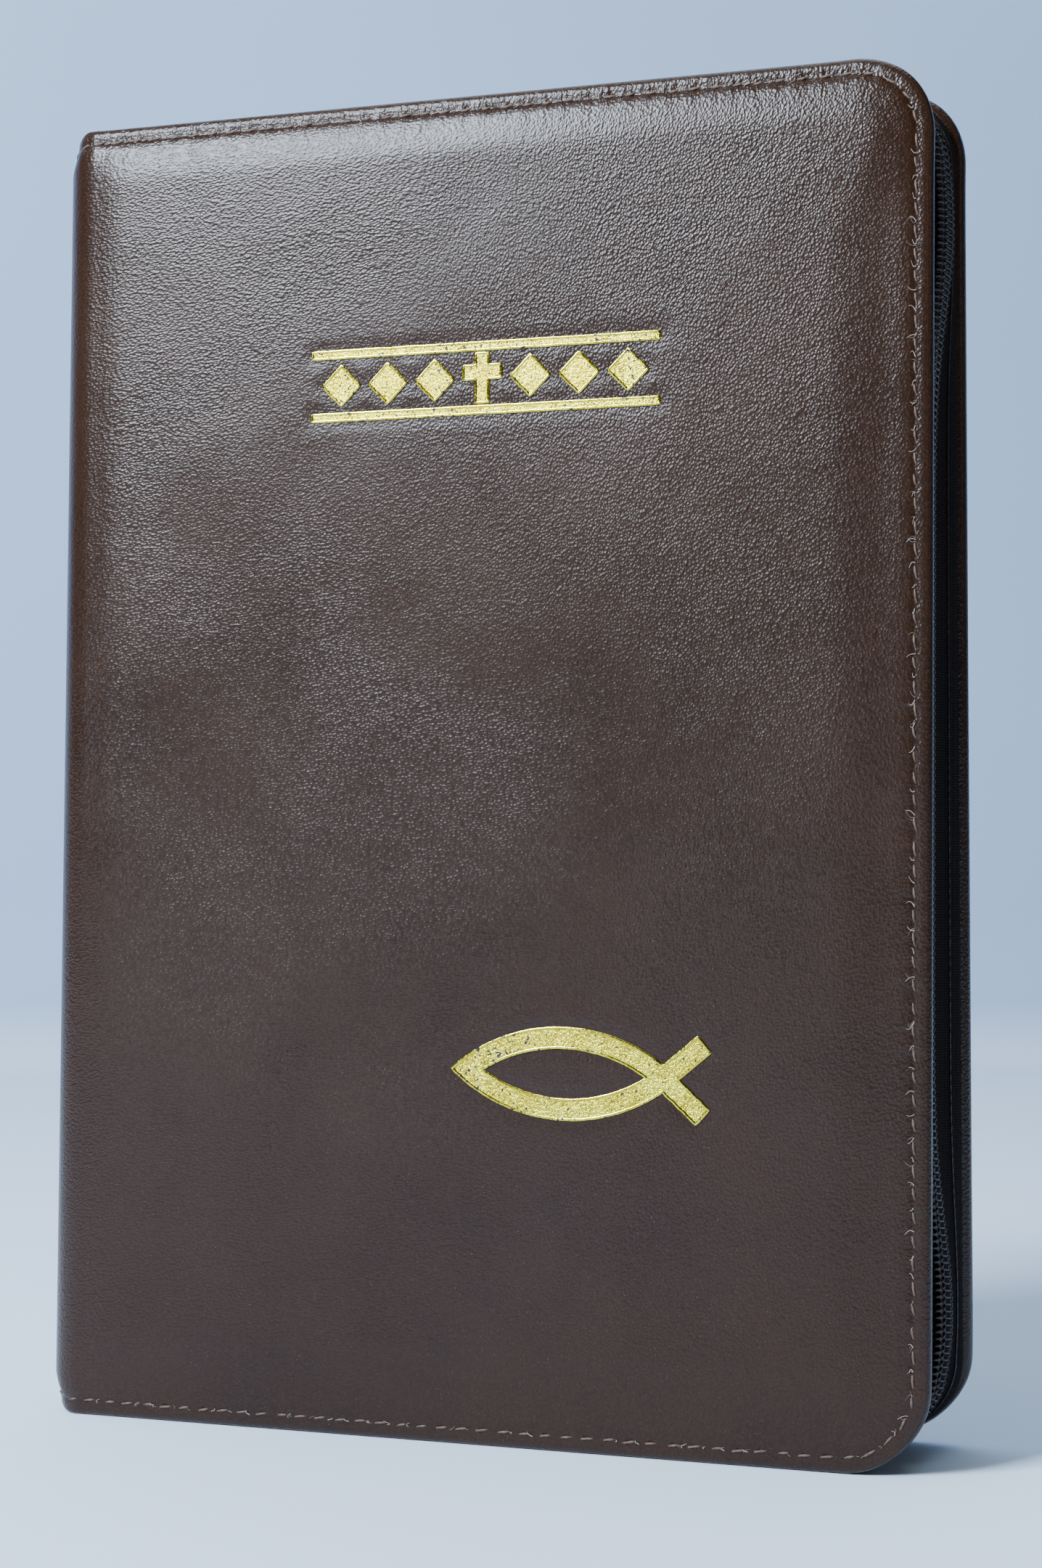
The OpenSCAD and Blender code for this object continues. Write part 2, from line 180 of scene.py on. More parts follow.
def tube(path, radius, up, sides=6, lobes=0.0, twist=0.0):
    """A tube of the given radius along path (n, 3). lobes and twist make it a plied thread."""
    path = np.asarray(path, float)
    n = len(path)
    radius = np.broadcast_to(np.asarray(radius, float), (n,))
    tangent = np.gradient(path, axis=0)
    tangent /= np.linalg.norm(tangent, axis=1)[:, None] + 1e-12
    up = np.broadcast_to(np.asarray(up, float), path.shape)
    side = np.cross(tangent, up)
    side /= np.linalg.norm(side, axis=1)[:, None] + 1e-12
    above = np.cross(side, tangent)
    a = np.linspace(0, 2 * math.pi, sides, endpoint=False)
    length = np.concatenate([[0], np.cumsum(np.linalg.norm(np.diff(path, axis=0), axis=1))])
    swell = 1 + lobes * np.cos(2 * (a[None, :] - twist * length[:, None]))
    r = radius[:, None] * swell
    rings = path[:, None] + side[:, None] * (r * np.cos(a))[..., None]
    rings = rings + above[:, None] * (r * np.sin(a))[..., None]
    return sweep(rings)


# ---- material helpers
def rgba(value):
    """A colour or a grey level, with alpha."""
    return (*value, 1) if isinstance(value, tuple) else (value, value, value, 1)


class Finish:
    """A Principled material while it is wired up. at is where a point is at rest, in metres."""

    def __init__(self, name, cad=False):
        self.material = bpy.data.materials.new(name)
        self.material.use_nodes = True
        self.tree = self.material.node_tree
        self.tree.nodes.clear()
        out = self.tree.nodes.new("ShaderNodeOutputMaterial")
        self.shader = self.tree.nodes.new("ShaderNodeBsdfPrincipled")
        self.tree.links.new(self.shader.outputs["BSDF"], out.inputs["Surface"])
        if cad:
            self.at = self.node("TexCoord")["Object"]
        else:
            self.at = self.node("Attribute", attribute_name="rest")["Vector"]

    def put(self, socket, value):
        """Links an input to another node's output, or sets its number or colour."""
        if isinstance(value, bpy.types.NodeSocket):
            self.tree.links.new(value, socket)
        else:
            socket.default_value = value

    def node(self, kind, inputs=None, **settings):
        """The outputs of a new node with these settings and inputs."""
        node = self.tree.nodes.new("ShaderNode" + kind)
        for key, value in settings.items():
            setattr(node, key, value)
        for key, value in (inputs or {}).items():
            self.put(node.inputs[key], value)
        return node.outputs

    def noise(self, at, scale, detail, roughness=0.5):
        inputs = {"Vector": at, "Scale": scale, "Detail": detail, "Roughness": roughness}
        return self.node("TexNoise", inputs)["Fac"]

    def stretched(self, at, scale):
        return self.node("Mapping", {"Vector": at, "Scale": scale})[0]

    def calc(self, operation, a, b):
        return self.node("Math", {0: a, 1: b}, operation=operation)[0]

    def times(self, a, b):
        return self.calc("MULTIPLY", a, b)

    def plus(self, a, b):
        return self.calc("ADD", a, b)

    def mix(self, fac, a, b, blend="MIX"):
        return self.node("MixRGB", {"Fac": fac, "Color1": a, "Color2": b}, blend_type=blend)[0]

    def ramp(self, fac, *stops):
        """A ramp through stops of (place, colour or grey level)."""
        node = self.tree.nodes.new("ShaderNodeValToRGB")
        self.tree.links.new(fac, node.inputs["Fac"])
        elements = node.color_ramp.elements
        for element, (place, value) in zip(elements, (stops[0], stops[-1])):
            element.position = place
            element.color = rgba(value)
        for place, value in stops[1:-1]:
            elements.new(place).color = rgba(value)
        return node.outputs["Color"]

    def bump(self, height, depth, strength=1.0):
        """Relief of a height field, depth millimetres deep."""
        inputs = {"Height": height, "Distance": depth * MM, "Strength": strength}
        return self.node("Bump", inputs)["Normal"]

    def done(self, inputs):
        for key, value in inputs.items():
            self.put(self.shader.inputs[key], value)
        return self.material


# ---- materials
PEBBLE_RATE = 2350.0            # leather cells per metre
PEBBLE_DEPTH, FINE_DEPTH, CREASE_DEPTH = -0.060, 0.012, 0.012
# the first colour here is painted glints: pale specks standing in for tiny highlights on the grain
PAINTED_GLINTS, WORN, BARE = rgba((0.10, 0.082, 0.072)), rgba((0.11, 0.060, 0.042)), rgba((0.025, 0.012, 0.008))
HEAD_PLEATS = ((0.40, 1500.0, 0.30, ((0.08, 0.4), (0.22, 1.0), (0.34, 0.25), (0.55, 0.0))),
               (0.14, 1400.0, 0.045, ((0.10, 0.2), (0.28, 1.0), (0.55, 0.5), (1.0, 0.0))))


def leather_material(name, base, light, roughness, grain=1.0, seams=True):
    """Smooth calf leather: fine pebbled grain, faint wrinkles, mottling, pleats drawn up by the seam, painted
    shade in the grain's valleys and painted glint specks.
    """
    f = Finish(name)
    drift = f.node("TexNoise", {"Vector": f.at, "Scale": 150.0, "Detail": 2.0})["Color"]
    shift = f.node("VectorMath", {0: drift, 1: (-0.5, -0.5, -0.5)})[0]
    push = f.node("VectorMath", {0: shift, "Scale": MM}, operation="SCALE")[0]
    bent = f.node("VectorMath", {0: f.at, 1: push})[0]
    # two layers of cells, leaning and drawn out differently, take turns over the cover
    layers = []
    for turn, stretch in ((0.12, (0.68, 0.9, 1.15)), (-0.5, (1.10, 0.9, 0.85))):
        turned = f.node("Mapping", {"Vector": bent, "Rotation": (0, turn, 0)})[0]
        pulled = f.stretched(turned, stretch)
        cells = f.node("TexVoronoi", {"Vector": pulled, "Scale": PEBBLE_RATE, "Smoothness": 0.15},
                       feature="SMOOTH_F1")
        layers.append((cells["Distance"], pulled))
    x, _, z = f.node("SeparateXYZ", {"Vector": f.at})
    share = f.ramp(f.plus(f.noise(f.at, 14.0, 2.0), f.times(x, 3.5)), (0.40, 0.0), (0.62, 1.0))
    pebble = f.mix(share, layers[0][0], layers[1][0])
    mottle = f.noise(f.at, 38.0, 5.0, 0.6)
    height = f.times(pebble, PEBBLE_DEPTH * grain)
    height = f.plus(height, f.times(f.noise(bent, 4200.0, 2.0), FINE_DEPTH * grain))
    height = f.plus(height, f.times(f.noise(layers[0][1], 1200.0, 2.0), CREASE_DEPTH * grain))
    colour = f.ramp(mottle, (0.32, base), (0.68, light))
    # painted shade: the colour is darkened in the grain's valleys, between the pebbles
    colour = f.mix(0.6, colour, f.ramp(pebble, (0.22, 1.0), (0.66, 0.45)), "MULTIPLY")
    # painted glints: sparse pale specks over the leather stand in for tiny highlights
    colour = f.mix(f.ramp(f.noise(f.at, 5200.0, 1.0), (0.70, 0.0), (0.78, 0.7)), colour, PAINTED_GLINTS)
    if seams:
        # the attribute holds the distance along the seam and the distance in from the edge
        spot = f.node("Attribute", attribute_name="seam")["Vector"]
        inward = f.node("SeparateXYZ", {"Vector": spot})["Y"]
        upper = f.ramp(f.calc("DIVIDE", z, CASE_H * MM), (0.90, 0.12), (0.965, 0.95))
        beside = f.ramp(f.calc("DIVIDE", x, HALF_W * MM), (0.84, 1.0), (0.92, 0.2))
        crumple = f.times(upper, beside)
        for squeeze, rate, depth, stops in HEAD_PLEATS:
            pleat = f.noise(f.stretched(spot, (1, squeeze, 1)), rate, 2.0, 0.45)
            reach = f.times(f.ramp(f.times(inward, 90.0), *stops), crumple)
            height = f.plus(height, f.times(f.times(pleat, reach), depth))
        edge = f.ramp(f.times(inward, 100.0), (0.0, 0.0), (0.02, 0.20), (0.06, 0.0))
        colour = f.mix(f.times(edge, mottle), colour, WORN)
    return f.done({"Base Color": colour, "Normal": f.bump(height, 1.0),
                   "Roughness": f.ramp(mottle, (0.3, roughness - 0.04), (0.7, roughness + 0.01)),
                   "Specular IOR Level": 0.27, "Coat Weight": 0.03, "Coat Roughness": 0.22})


def woven_material(name, dark, light, pitch, roughness=0.8, sheen=0.25, cad=False, specular=0.4):
    """Cloth with crossing ribs, pitch millimetres apart."""
    f = Finish(name, cad)
    height = f.noise(f.at, 900.0, 3.0)
    for direction in "XZY":
        rib = f.node("TexWave", {"Vector": f.at, "Scale": 1 / (3.2 * pitch * MM), "Distortion": 0.5,
                                 "Detail": 1.0}, bands_direction=direction)["Fac"]
        height = f.plus(height, rib)
    return f.done({"Base Color": f.ramp(f.times(height, 0.28), (0.2, dark), (0.8, light)),
                   "Normal": f.bump(height, 0.08, 0.7), "Roughness": roughness,
                   "Sheen Weight": sheen, "Specular IOR Level": specular})


def plain_material(name, dark, light, roughness, metallic=0.0, scale=300.0, depth=0.03, cad=False,
                   specular=0.5):
    """A surface with fine uneven colour, roughness and relief. depth is in millimetres."""
    f = Finish(name, cad)
    cloud = f.noise(f.at, scale, 5.0, 0.6)
    rough = f.ramp(cloud, (0.3, max(0.02, roughness - 0.08)), (0.7, min(1.0, roughness + 0.08)))
    return f.done({"Base Color": f.ramp(cloud, (0.3, dark), (0.7, light)), "Roughness": rough,
                   "Normal": f.bump(cloud, depth, 0.8), "Metallic": metallic,
                   "Specular IOR Level": specular})


def foil_material(name, relief, roughness):
    """Pale gold foil, crinkled by the leather under it, with painted shade in the crinkle's hollows and
    pinholes where it missed.
    """
    f = Finish(name)
    crinkle = f.noise(f.at, 2400.0, 3.0, 0.6)
    coarse = f.noise(f.at, 420.0, 2.0)
    missed = f.plus(f.noise(f.at, 1700.0, 1.0), f.times(f.noise(f.at, 110.0, 2.0), 0.35))
    hole = f.ramp(missed, (0.85, 0.0), (0.865, 1.0))
    gold = f.ramp(coarse, (0.3, (0.60, 0.46, 0.030)), (0.7, (0.82, 0.69, 0.065)))
    # painted shade: the gold is darkened in the crinkle's hollows
    gold = f.mix(0.8, gold, f.ramp(crinkle, (0.34, 0.30), (0.52, 1.0)), "MULTIPLY")
    return f.done({"Base Color": f.mix(hole, gold, BARE), "Metallic": f.calc("SUBTRACT", 1.0, hole),
                   "Roughness": f.ramp(crinkle, (0.3, roughness - 0.08), (0.7, roughness + 0.08)),
                   "Normal": f.bump(f.plus(crinkle, f.times(coarse, 0.5)), relief)})


def paper_material(name, cad):
    """Thin bible paper: cut edges show as fine leaf lines across the thickness."""
    f = Finish(name, cad)
    leaves = f.noise(f.stretched(f.at, (0.02, 1, 0.02)), 9000.0, 3.0, 0.7)
    blend = f.plus(f.times(leaves, 0.9), f.times(f.noise(f.at, 260.0, 4.0), 0.1))
    return f.done({"Base Color": f.ramp(blend, (0.34, (0.68, 0.62, 0.50)), (0.62, (0.86, 0.81, 0.70))),
                   "Normal": f.bump(leaves, 0.12, 0.8), "Roughness": 0.85})


def silk_material(name):
    """Head-band silk in two colours, wound round a core."""
    f = Finish(name)
    wave = f.node("TexWave", {"Vector": f.at, "Scale": 190.0}, bands_direction="Y")["Fac"]
    return f.done({"Base Color": f.ramp(wave, (0.45, (0.36, 0.04, 0.03)), (0.55, (0.78, 0.66, 0.36))),
                   "Roughness": 0.55, "Sheen Weight": 0.3})


BROWN, BROWN_LIGHT = (0.0232, 0.0086, 0.0033), (0.0305, 0.0114, 0.0044)
METAL, METAL_LIGHT = (0.20, 0.15, 0.09), (0.36, 0.29, 0.19)

M_LEATHER = leather_material("brown_leather", BROWN, BROWN_LIGHT, 0.30)
M_LINING = leather_material("lining_leatherette", (0.020, 0.010, 0.008), (0.030, 0.016, 0.012), 0.6,
                            grain=0.6, seams=False)
M_THREAD = plain_material("seam_thread", (0.040, 0.021, 0.0125), (0.135, 0.075, 0.045), 0.55, scale=1200.0)
# pale fibres at the holes: partly torn leather and thread, partly a painted highlight on the torn edges
M_FIBRE_AND_HIGHLIGHT = plain_material("frayed_fibre_and_painted_highlight", (0.16, 0.125, 0.10), (0.34, 0.285, 0.24), 0.8, scale=900.0)
M_TAPE = woven_material("zip_tape_weave", (0.0042, 0.0026, 0.0022), (0.0105, 0.0064, 0.0058), 0.42,
                        sheen=0.0, specular=0.08)
M_COIL = plain_material("nylon_coil", (0.020, 0.0132, 0.0115), (0.036, 0.0245, 0.021), 0.23, scale=700.0,
                        specular=0.34)
M_METAL = plain_material("antique_metal", METAL, METAL_LIGHT, 0.34, 1.0, 600.0, 0.02)
M_STOP = plain_material("stop_metal", METAL, METAL_LIGHT, 0.4, 1.0, 600.0, 0.02, cad=True)
M_FOIL = foil_material("gold_foil", 0.20, 0.22)
M_FOIL_RIM = foil_material("gold_foil_rim", 0.03, 0.15)
M_PAPER = paper_material("bible_paper", cad=False)
M_BLOCK = paper_material("block_paper", cad=True)
M_BAND = silk_material("band_silk")
M_RIBBON = woven_material("ribbon_satin", (0.20, 0.010, 0.018), (0.36, 0.030, 0.040), 0.3, 0.42, 0.4)
M_BOARD = plain_material("grey_board", (0.26, 0.22, 0.17), (0.38, 0.33, 0.26), 0.9, scale=220.0)
M_FOAM = plain_material("pad_foam", (0.30, 0.30, 0.29), (0.40, 0.40, 0.38), 0.95, scale=900.0, depth=0.2)
M_CARD = plain_material("spine_card", (0.30, 0.24, 0.17), (0.42, 0.35, 0.26), 0.9, scale=220.0, cad=True)
M_KRAFT = plain_material("kraft_tube", (0.30, 0.19, 0.10), (0.42, 0.28, 0.16), 0.85, cad=True)
M_GAUZE = woven_material("mull_gauze", (0.45, 0.42, 0.35), (0.80, 0.77, 0.68), 1.0, cad=True)


# ---- gold foil outlines, in the front's plane
FISH_X, FISH_Z = -HALF_W + 90.3, 58.0
FISH_HALF, FISH_RISE, FISH_LINE, FISH_LEAN = 16.0, 5.5, 3.0, math.radians(-1.2)
FISH_R = (FISH_HALF ** 2 + FISH_RISE ** 2) / (2 * FISH_RISE)
TAIL_LEN, TAIL_ANGLE = 8.3, math.radians(41)
ORNAMENT_X, ORNAMENT_Z = -HALF_W + 76.0, 166.5
ORNAMENT_W, ORNAMENT_H, RULE = 58.0, 11.2, 1.1
ORNAMENT_STEP, LOZENGE = 8.0, 6.4
CROSS_W, CROSS_H, CROSS_BAR = 6.2, 7.8, 2.1


def arc_points(radius, drop, start, end, count):
    """Points on a circle centred drop below the fish's axis, from start to end in x."""
    x = np.linspace(start, end, count)
    return np.stack([x, np.sqrt(np.maximum(radius ** 2 - x ** 2, 0)) - drop], 1)


def fish_loops():
    """Outline of the fish with its crossed tail, and of the hole in its body."""
    drop = FISH_R - FISH_RISE
    outer, inner = FISH_R + FISH_LINE / 2, FISH_R - FISH_LINE / 2
    nose = -math.sqrt(outer ** 2 - drop ** 2)
    eye = math.sqrt(inner ** 2 - drop ** 2)
    u = np.array([math.cos(TAIL_ANGLE), math.sin(TAIL_ANGLE)])
    n = np.array([-u[1], u[0]])
    root = np.array([FISH_HALF, 0.0])
    p = root + n * FISH_LINE / 2
    q = p - np.array([0.0, -drop])
    b, c = q @ u, q @ q - outer ** 2
    meet = p + u * (-b + math.sqrt(b * b - c))
    tip = root + u * TAIL_LEN
    crotch = FISH_HALF + FISH_LINE / 2 / math.sin(TAIL_ANGLE)
    upper = arc_points(outer, drop, nose, meet[0], 40)
    tail = np.array([tip + n * FISH_LINE / 2, tip - n * FISH_LINE / 2])
    half = np.concatenate([upper, tail])
    lower = half[::-1] * [1, -1]
    outline = np.concatenate([half, [[crotch, 0.0]], lower[:-1]])
    top = arc_points(inner, drop, -eye, eye, 36)
    hole = np.concatenate([top, (top * [1, -1])[::-1][1:-1]])
    return [outline, hole]


def ornament_loops():
    """Two rules, three lozenges on each side, and a small cross in the middle."""
    loops = []
    for s in (-1, 1):
        x, z, r = ORNAMENT_W / 2, s * (ORNAMENT_H - RULE) / 2, RULE / 2
        loops.append(np.array([[-x, z - r], [x, z - r], [x, z + r], [-x, z + r]]))
        for i in (1, 2, 3):
            x, r = s * i * ORNAMENT_STEP, LOZENGE / 2
            loops.append(np.array([[x - r, 0], [x, -r], [x + r, 0], [x, r]]))
    a, b, arm, up = CROSS_BAR / 2, CROSS_H / 2, CROSS_W / 2, CROSS_H * 0.12
    loops.append(np.array([[-a, -b], [a, -b], [a, up - a], [arm, up - a], [arm, up + a], [a, up + a],
                           [a, b], [-a, b], [-a, up + a], [-arm, up + a], [-arm, up - a], [-a, up - a]]))
    return loops


def resample(loop, step):
    """Even points along a closed loop that keep its corners."""
    out = []
    for a, b in zip(loop, np.roll(loop, -1, axis=0)):
        n = max(1, int(round(np.linalg.norm(b - a) / step)))
        out += [a + (b - a) * i / n for i in range(n)]
    return np.array(out)


LEAN = np.array([[math.cos(FISH_LEAN), math.sin(FISH_LEAN)], [-math.sin(FISH_LEAN), math.cos(FISH_LEAN)]])
FISH = [loop @ LEAN + [FISH_X, FISH_Z] for loop in fish_loops()]
ORNAMENT = [loop + [ORNAMENT_X, ORNAMENT_Z] for loop in ornament_loops()]


def inside(loops, x, z):
    """Which points lie in the filled outlines, by the even-odd rule."""
    within = np.zeros(x.shape, bool)
    for loop in loops:
        for (xa, za), (xb, zb) in zip(loop, np.roll(loop, -1, axis=0)):
            if za != zb:
                cross = (za > z) != (zb > z)
                within ^= cross & (x < xa + (z - za) * (xb - xa) / (zb - za))
    return within


def filled(loops, step=0.5):
    """Points of the outlines and points spread inside them."""
    line = np.concatenate([resample(loop, 0.8) for loop in loops])
    low, high = line.min(0), line.max(0)
    x, z = np.meshgrid(np.arange(low[0], high[0], step), np.arange(low[1], high[1], step))
    pick = inside(loops, x.ravel(), z.ravel())
    return np.concatenate([line, np.column_stack([x.ravel()[pick], z.ravel()[pick]])])


STAMPED = [filled(FISH), filled(ORNAMENT)]


def stamp_distance(x, z):
    """Distance from points on the front to the nearest foil."""
    near = np.full(x.shape, 99.0)
    for marks in STAMPED:
        low, high = marks.min(0) - 8, marks.max(0) + 8
        pick = (x > low[0]) & (x < high[0]) & (z > low[1]) & (z < high[1])
        if pick.any():
            p = np.stack([x[pick], z[pick]], 1)
            d = np.concatenate([np.sqrt(((part[:, None] - marks[None]) ** 2).sum(-1)).min(1)
                                for part in np.array_split(p, 40)])
            near[pick] = np.minimum(near[pick], d)
    return near


# ---- the leather's shape
def lay(s, z, off, side):
    """A point s along the leather from the spine's middle, at height z, off outwards from the sewn band."""
    s, z, off = np.broadcast_arrays(np.asarray(s, float), z, off)
    turn = np.clip((s - SPINE_FLAT) / SPINE_R, 0, math.pi / 2)
    flat = np.maximum(s - SPINE_FLAT - ARC, 0)
    x = SPINE_X + SPINE_R * (1 - np.cos(turn)) + flat - off * np.cos(turn)
    y = np.minimum(s, SPINE_FLAT) + SPINE_R * np.sin(turn) + off * np.sin(turn)
    return np.stack([x, side * y, z], -1)


SAG = (1.3, 2.2, 1.6)           # how far the back cover's free edge moves along x, y and z


def sag(p):
    """How the back cover hangs: outwards at its foot, and a little higher at its fore-edge."""
    reach = smooth((p[..., 0] - HINGE_X - 5) / (HALF_W - HINGE_X - 5))
    low = 1 - np.clip(p[..., 2] / CASE_H, 0, 1)
    return np.stack([SAG[0] * reach * low, SAG[1] * reach * low ** 1.5, SAG[2] * reach], -1)


FULLER_HEAD, ROUNDER_FOOT = 0.55, -0.6                  # how far the fore-edge corners are pushed out
HEAD_DROP, FOOT_RISE, WORN_REACH = 2.8, 2.2, 16.0       # how the spine's ends are rubbed down


def settle(p, side):
    """Worn shape of a cover: a fuller head corner, a rounder foot corner, and the back cover's sag."""
    p = np.array(p, float)
    k = CORNER_R * (1 - math.sqrt(0.5))
    for z, way, push in ((CASE_H - k, 1, FULLER_HEAD), (k, -1, ROUNDER_FOOT)):
        near = (p[..., 0] - HALF_W + k) ** 2 + (p[..., 2] - z) ** 2
        shift = push * np.exp(-near / 60.0) * math.sqrt(0.5)
        p[..., 0] += shift
        p[..., 2] += way * shift
    worn = np.clip((SPINE_X + 4.3 - p[..., 0]) / 4.8, 0, 1) ** 2
    p[..., 2] -= HEAD_DROP * worn * smooth((p[..., 2] - CASE_H + WORN_REACH) / WORN_REACH)
    p[..., 2] += FOOT_RISE * worn * smooth((WORN_REACH - p[..., 2]) / WORN_REACH)
    return p + sag(p) if side > 0 else p


TOP_S = spans((0, SPINE_FLAT, 9), (SPINE_FLAT, SPINE_FLAT + ARC, 17), (SPINE_FLAT + ARC, RUN - CORNER_R, 154))
SIDE_Z = np.linspace(CASE_H - CORNER_R, CORNER_R, 221)
TURN_A = np.radians(np.linspace(90, 0, 26))[1:-1]


def rim(d):
    """The outline at distance d inside the cover's edge: (s, z) at each station, head to foot."""
    r = CORNER_R - d
    head = np.stack([TOP_S, np.full_like(TOP_S, CASE_H - d)], 1)
    c1 = np.stack([RUN - CORNER_R + r * np.cos(TURN_A), CASE_H - CORNER_R + r * np.sin(TURN_A)], 1)
    fore = np.stack([np.full_like(SIDE_Z, RUN - d), SIDE_Z], 1)
    c2 = np.stack([RUN - CORNER_R + r * np.cos(TURN_A), CORNER_R - r * np.sin(TURN_A)], 1)[::-1]
    foot = np.stack([TOP_S, np.full_like(TOP_S, d)], 1)[::-1]
    return np.concatenate([head, c1, fore, c2, foot])


SEAM_LINE = rim(SEAM)
SEAM_AT = np.concatenate([[0], np.cumsum(np.linalg.norm(np.diff(SEAM_LINE, axis=0), axis=1))])
SEAM_LEN = SEAM_AT[-1]
STITCHES = int(round(SEAM_LEN / STITCH))
PITCH = SEAM_LEN / STITCHES


SLACK = ((34.0, 0.19), (14.0, 0.10), (6.0, 0.03))       # length and depth of the leather's waves


def crown_height(s, z, d, along, side):
    """How far the outer leather stands above the flat band, d in from the edge and along the seam."""
    on_cover = smooth((s - SPINE_FLAT - ARC * 0.5) / 9.0)
    roll = 0.6 * np.exp(-((s - SPINE_FLAT - ARC * 0.85) / 4.2) ** 2)
    full = 0.85 + (CROWN - 0.85) * on_cover - roll
    long = 4.0 + 6.0 * (1 - smooth((z - CASE_H + 30) / 20))
    broad = smooth((d - SEAM + 1.4) / (4.5 + long * on_cover))
    sharp = np.clip((d - SEAM - 0.3) / 2.4, 0, 1)
    h = full * (0.8 * broad + 0.2 * (1 - (1 - sharp) ** 2))
    h = h - 0.15 * np.where(d > SEAM, np.exp(-((d - SEAM) / 0.34) ** 2), 1.0)
    h = h - 0.75 * np.clip(1 - d / 1.5, 0, 1) ** 2
    seed = 3 if side < 0 else 8
    q = np.stack([s, np.full_like(s, side * 40.0), z], -1).reshape(-1, 3)
    wave = sum(noise(q, length, seed + k) * depth for k, (length, depth) in enumerate(SLACK))
    calm = 1.0
    if side < 0:
        x = s - SPINE_FLAT - ARC + SPINE_X + SPINE_R
        near = stamp_distance(x.ravel(), z.ravel()).reshape(s.shape)
        calm = smooth(near / 7.0)
        h = h - 0.095 * (1 - smooth((near - 0.5) / 1.4))
    wide = smooth((d - SEAM) / 6.0)
    h = h - (0.10 - wave.reshape(s.shape) * 0.6 * calm) * wide * on_cover
    phase = 2 * math.pi * along / PITCH
    fade = np.exp(-np.abs(d - SEAM) / 1.5) * smooth((d - 0.3) / 0.8)
    jitter = noise(np.stack([along, np.full_like(along, 5.0), d * 0.2], -1).reshape(-1, 3), 2.1, seed)
    head = 1 + 0.3 * smooth((z - CASE_H + 8) / 4) * (1 - smooth((s - RUN + 16) / 6))
    jitter = jitter.reshape(s.shape)
    return h + (0.055 * np.cos(phase + 1.2 * jitter) + 0.05 * jitter) * head * fade


# each ring's distance in from the edge, and its share of the rim's thickness: turn-in, round the edge, face
RING_IN = (TURN_IN, TURN_IN, 4.0, 1.5, 0.75, 0.32, 0.08, 0.0, 0.0, 0.06, 0.26, 0.6, 1.0, 1.35, 1.7, 2.0,
           2.2, 2.35, 2.5, 2.65, 2.8, 3.0, 3.3, 3.7, 4.2, 4.8, 5.5, 6.3, 7.2, 8.2, 9.3, 10.4, 11.5)
RING_SHARE = (0.76, 1.0, 1.0, 1.0, 0.97, 0.86, 0.70, 0.56, 0.36, 0.245, 0.15, 0.067) + 21 * (0.0,)


def leather_skin(side, name):
    """The leather of one cover and its half of the spine, turned in round its three open edges."""
    stations = rim(0.0)
    count = len(stations)
    thick = SPINE_T + (EDGE_T - SPINE_T) * smooth((stations[:, 0] - SPINE_FLAT - ARC * 0.6) / 6.0)
    rings = []
    for d, share in zip(RING_IN, RING_SHARE):
        line = rim(d)
        s, z = line[:, 0], line[:, 1]
        off = -thick * share - (0.12 if share < 0.3 else 0.0)
        if share == 0.0:
            off = crown_height(s, z, np.full(count, d), SEAM_AT, side)
        rings.append(lay(s, z, off, side))
    verts = [np.concatenate(rings)]
    faces = []
    for k in range(len(rings) - 1):
        a, b = k * count, (k + 1) * count
        faces += [(a + i, a + i + 1, b + i + 1, b + i) for i in range(count - 1)]
    # the panel inside the last ring, as a grid
    n1, n3 = len(TOP_S), len(SIDE_Z)
    grid_s, grid_z = np.meshgrid(TOP_S, SIDE_Z, indexing="ij")
    deep = np.minimum(np.minimum(grid_z, CASE_H - grid_z), RUN - grid_s)
    panel = lay(grid_s, grid_z, crown_height(grid_s, grid_z, deep, grid_s * 0 + 0.85, side), side)
    base = len(verts[0])
    verts.append(panel.reshape(-1, 3))
    at = lambda i, j: base + i * n3 + j
    faces += [(at(i, j), at(i + 1, j), at(i + 1, j + 1), at(i, j + 1))
              for i in range(n1 - 1) for j in range(n3 - 1)]
    last = (len(rings) - 1) * count
    turn = len(TURN_A)
    for i in range(n1 - 1):
        faces.append((last + i, last + i + 1, at(i + 1, 0), at(i, 0)))
        low = last + count - 1
        faces.append((low - i - 1, low - i, at(i, n3 - 1), at(i + 1, n3 - 1)))
    side_start = last + n1 + turn
    for j in range(n3 - 1):
        faces.append((side_start + j, side_start + j + 1, at(n1 - 1, j + 1), at(n1 - 1, j)))
    for i in range(turn + 1):
        faces.append((last + n1 - 1 + i, last + n1 + i, at(n1 - 1, 0)))
        faces.append((side_start + n3 - 1 + i, side_start + n3 + i, at(n1 - 1, n3 - 1)))
    # the hidden back of the turned-in part, as long strips and one flat end
    for i in range(n1 - 1):
        faces.append((i + 1, i, count - 1 - i, count - 2 - i))
    faces.append(tuple(range(n1 - 1, count - n1 + 1))[::-1])
    # the edge at the spine's middle, where the other skin takes over
    column = [k * count for k in range(len(rings))] + [at(0, j) for j in range(n3)]
    column += [k * count + count - 1 for k in reversed(range(len(rings)))]
    faces.append(tuple(column))
    if side > 0:
        faces = [f[::-1] for f in faces]
    obj = make_piece(name, settle(np.concatenate(verts), side), faces, M_LEATHER, 50)
    inward = [np.full(count, d if share == 0.0 else -share) for d, share in zip(RING_IN, RING_SHARE)]
    inward = np.concatenate(inward + [deep.ravel()])
    along = np.concatenate([np.tile(SEAM_AT, len(rings)), np.zeros(deep.size)])
    spot = obj.data.attributes.new("seam", "FLOAT_VECTOR", "POINT")
    spot.data.foreach_set("vector", (np.column_stack([along, inward, along * 0 + side * 20]) * MM).ravel())
    return obj


def bend_with_cover(obj, fold=FOLD):
    point(fold[0], 0, 0)
    point(fold[1], 0, 0)
    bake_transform(obj)


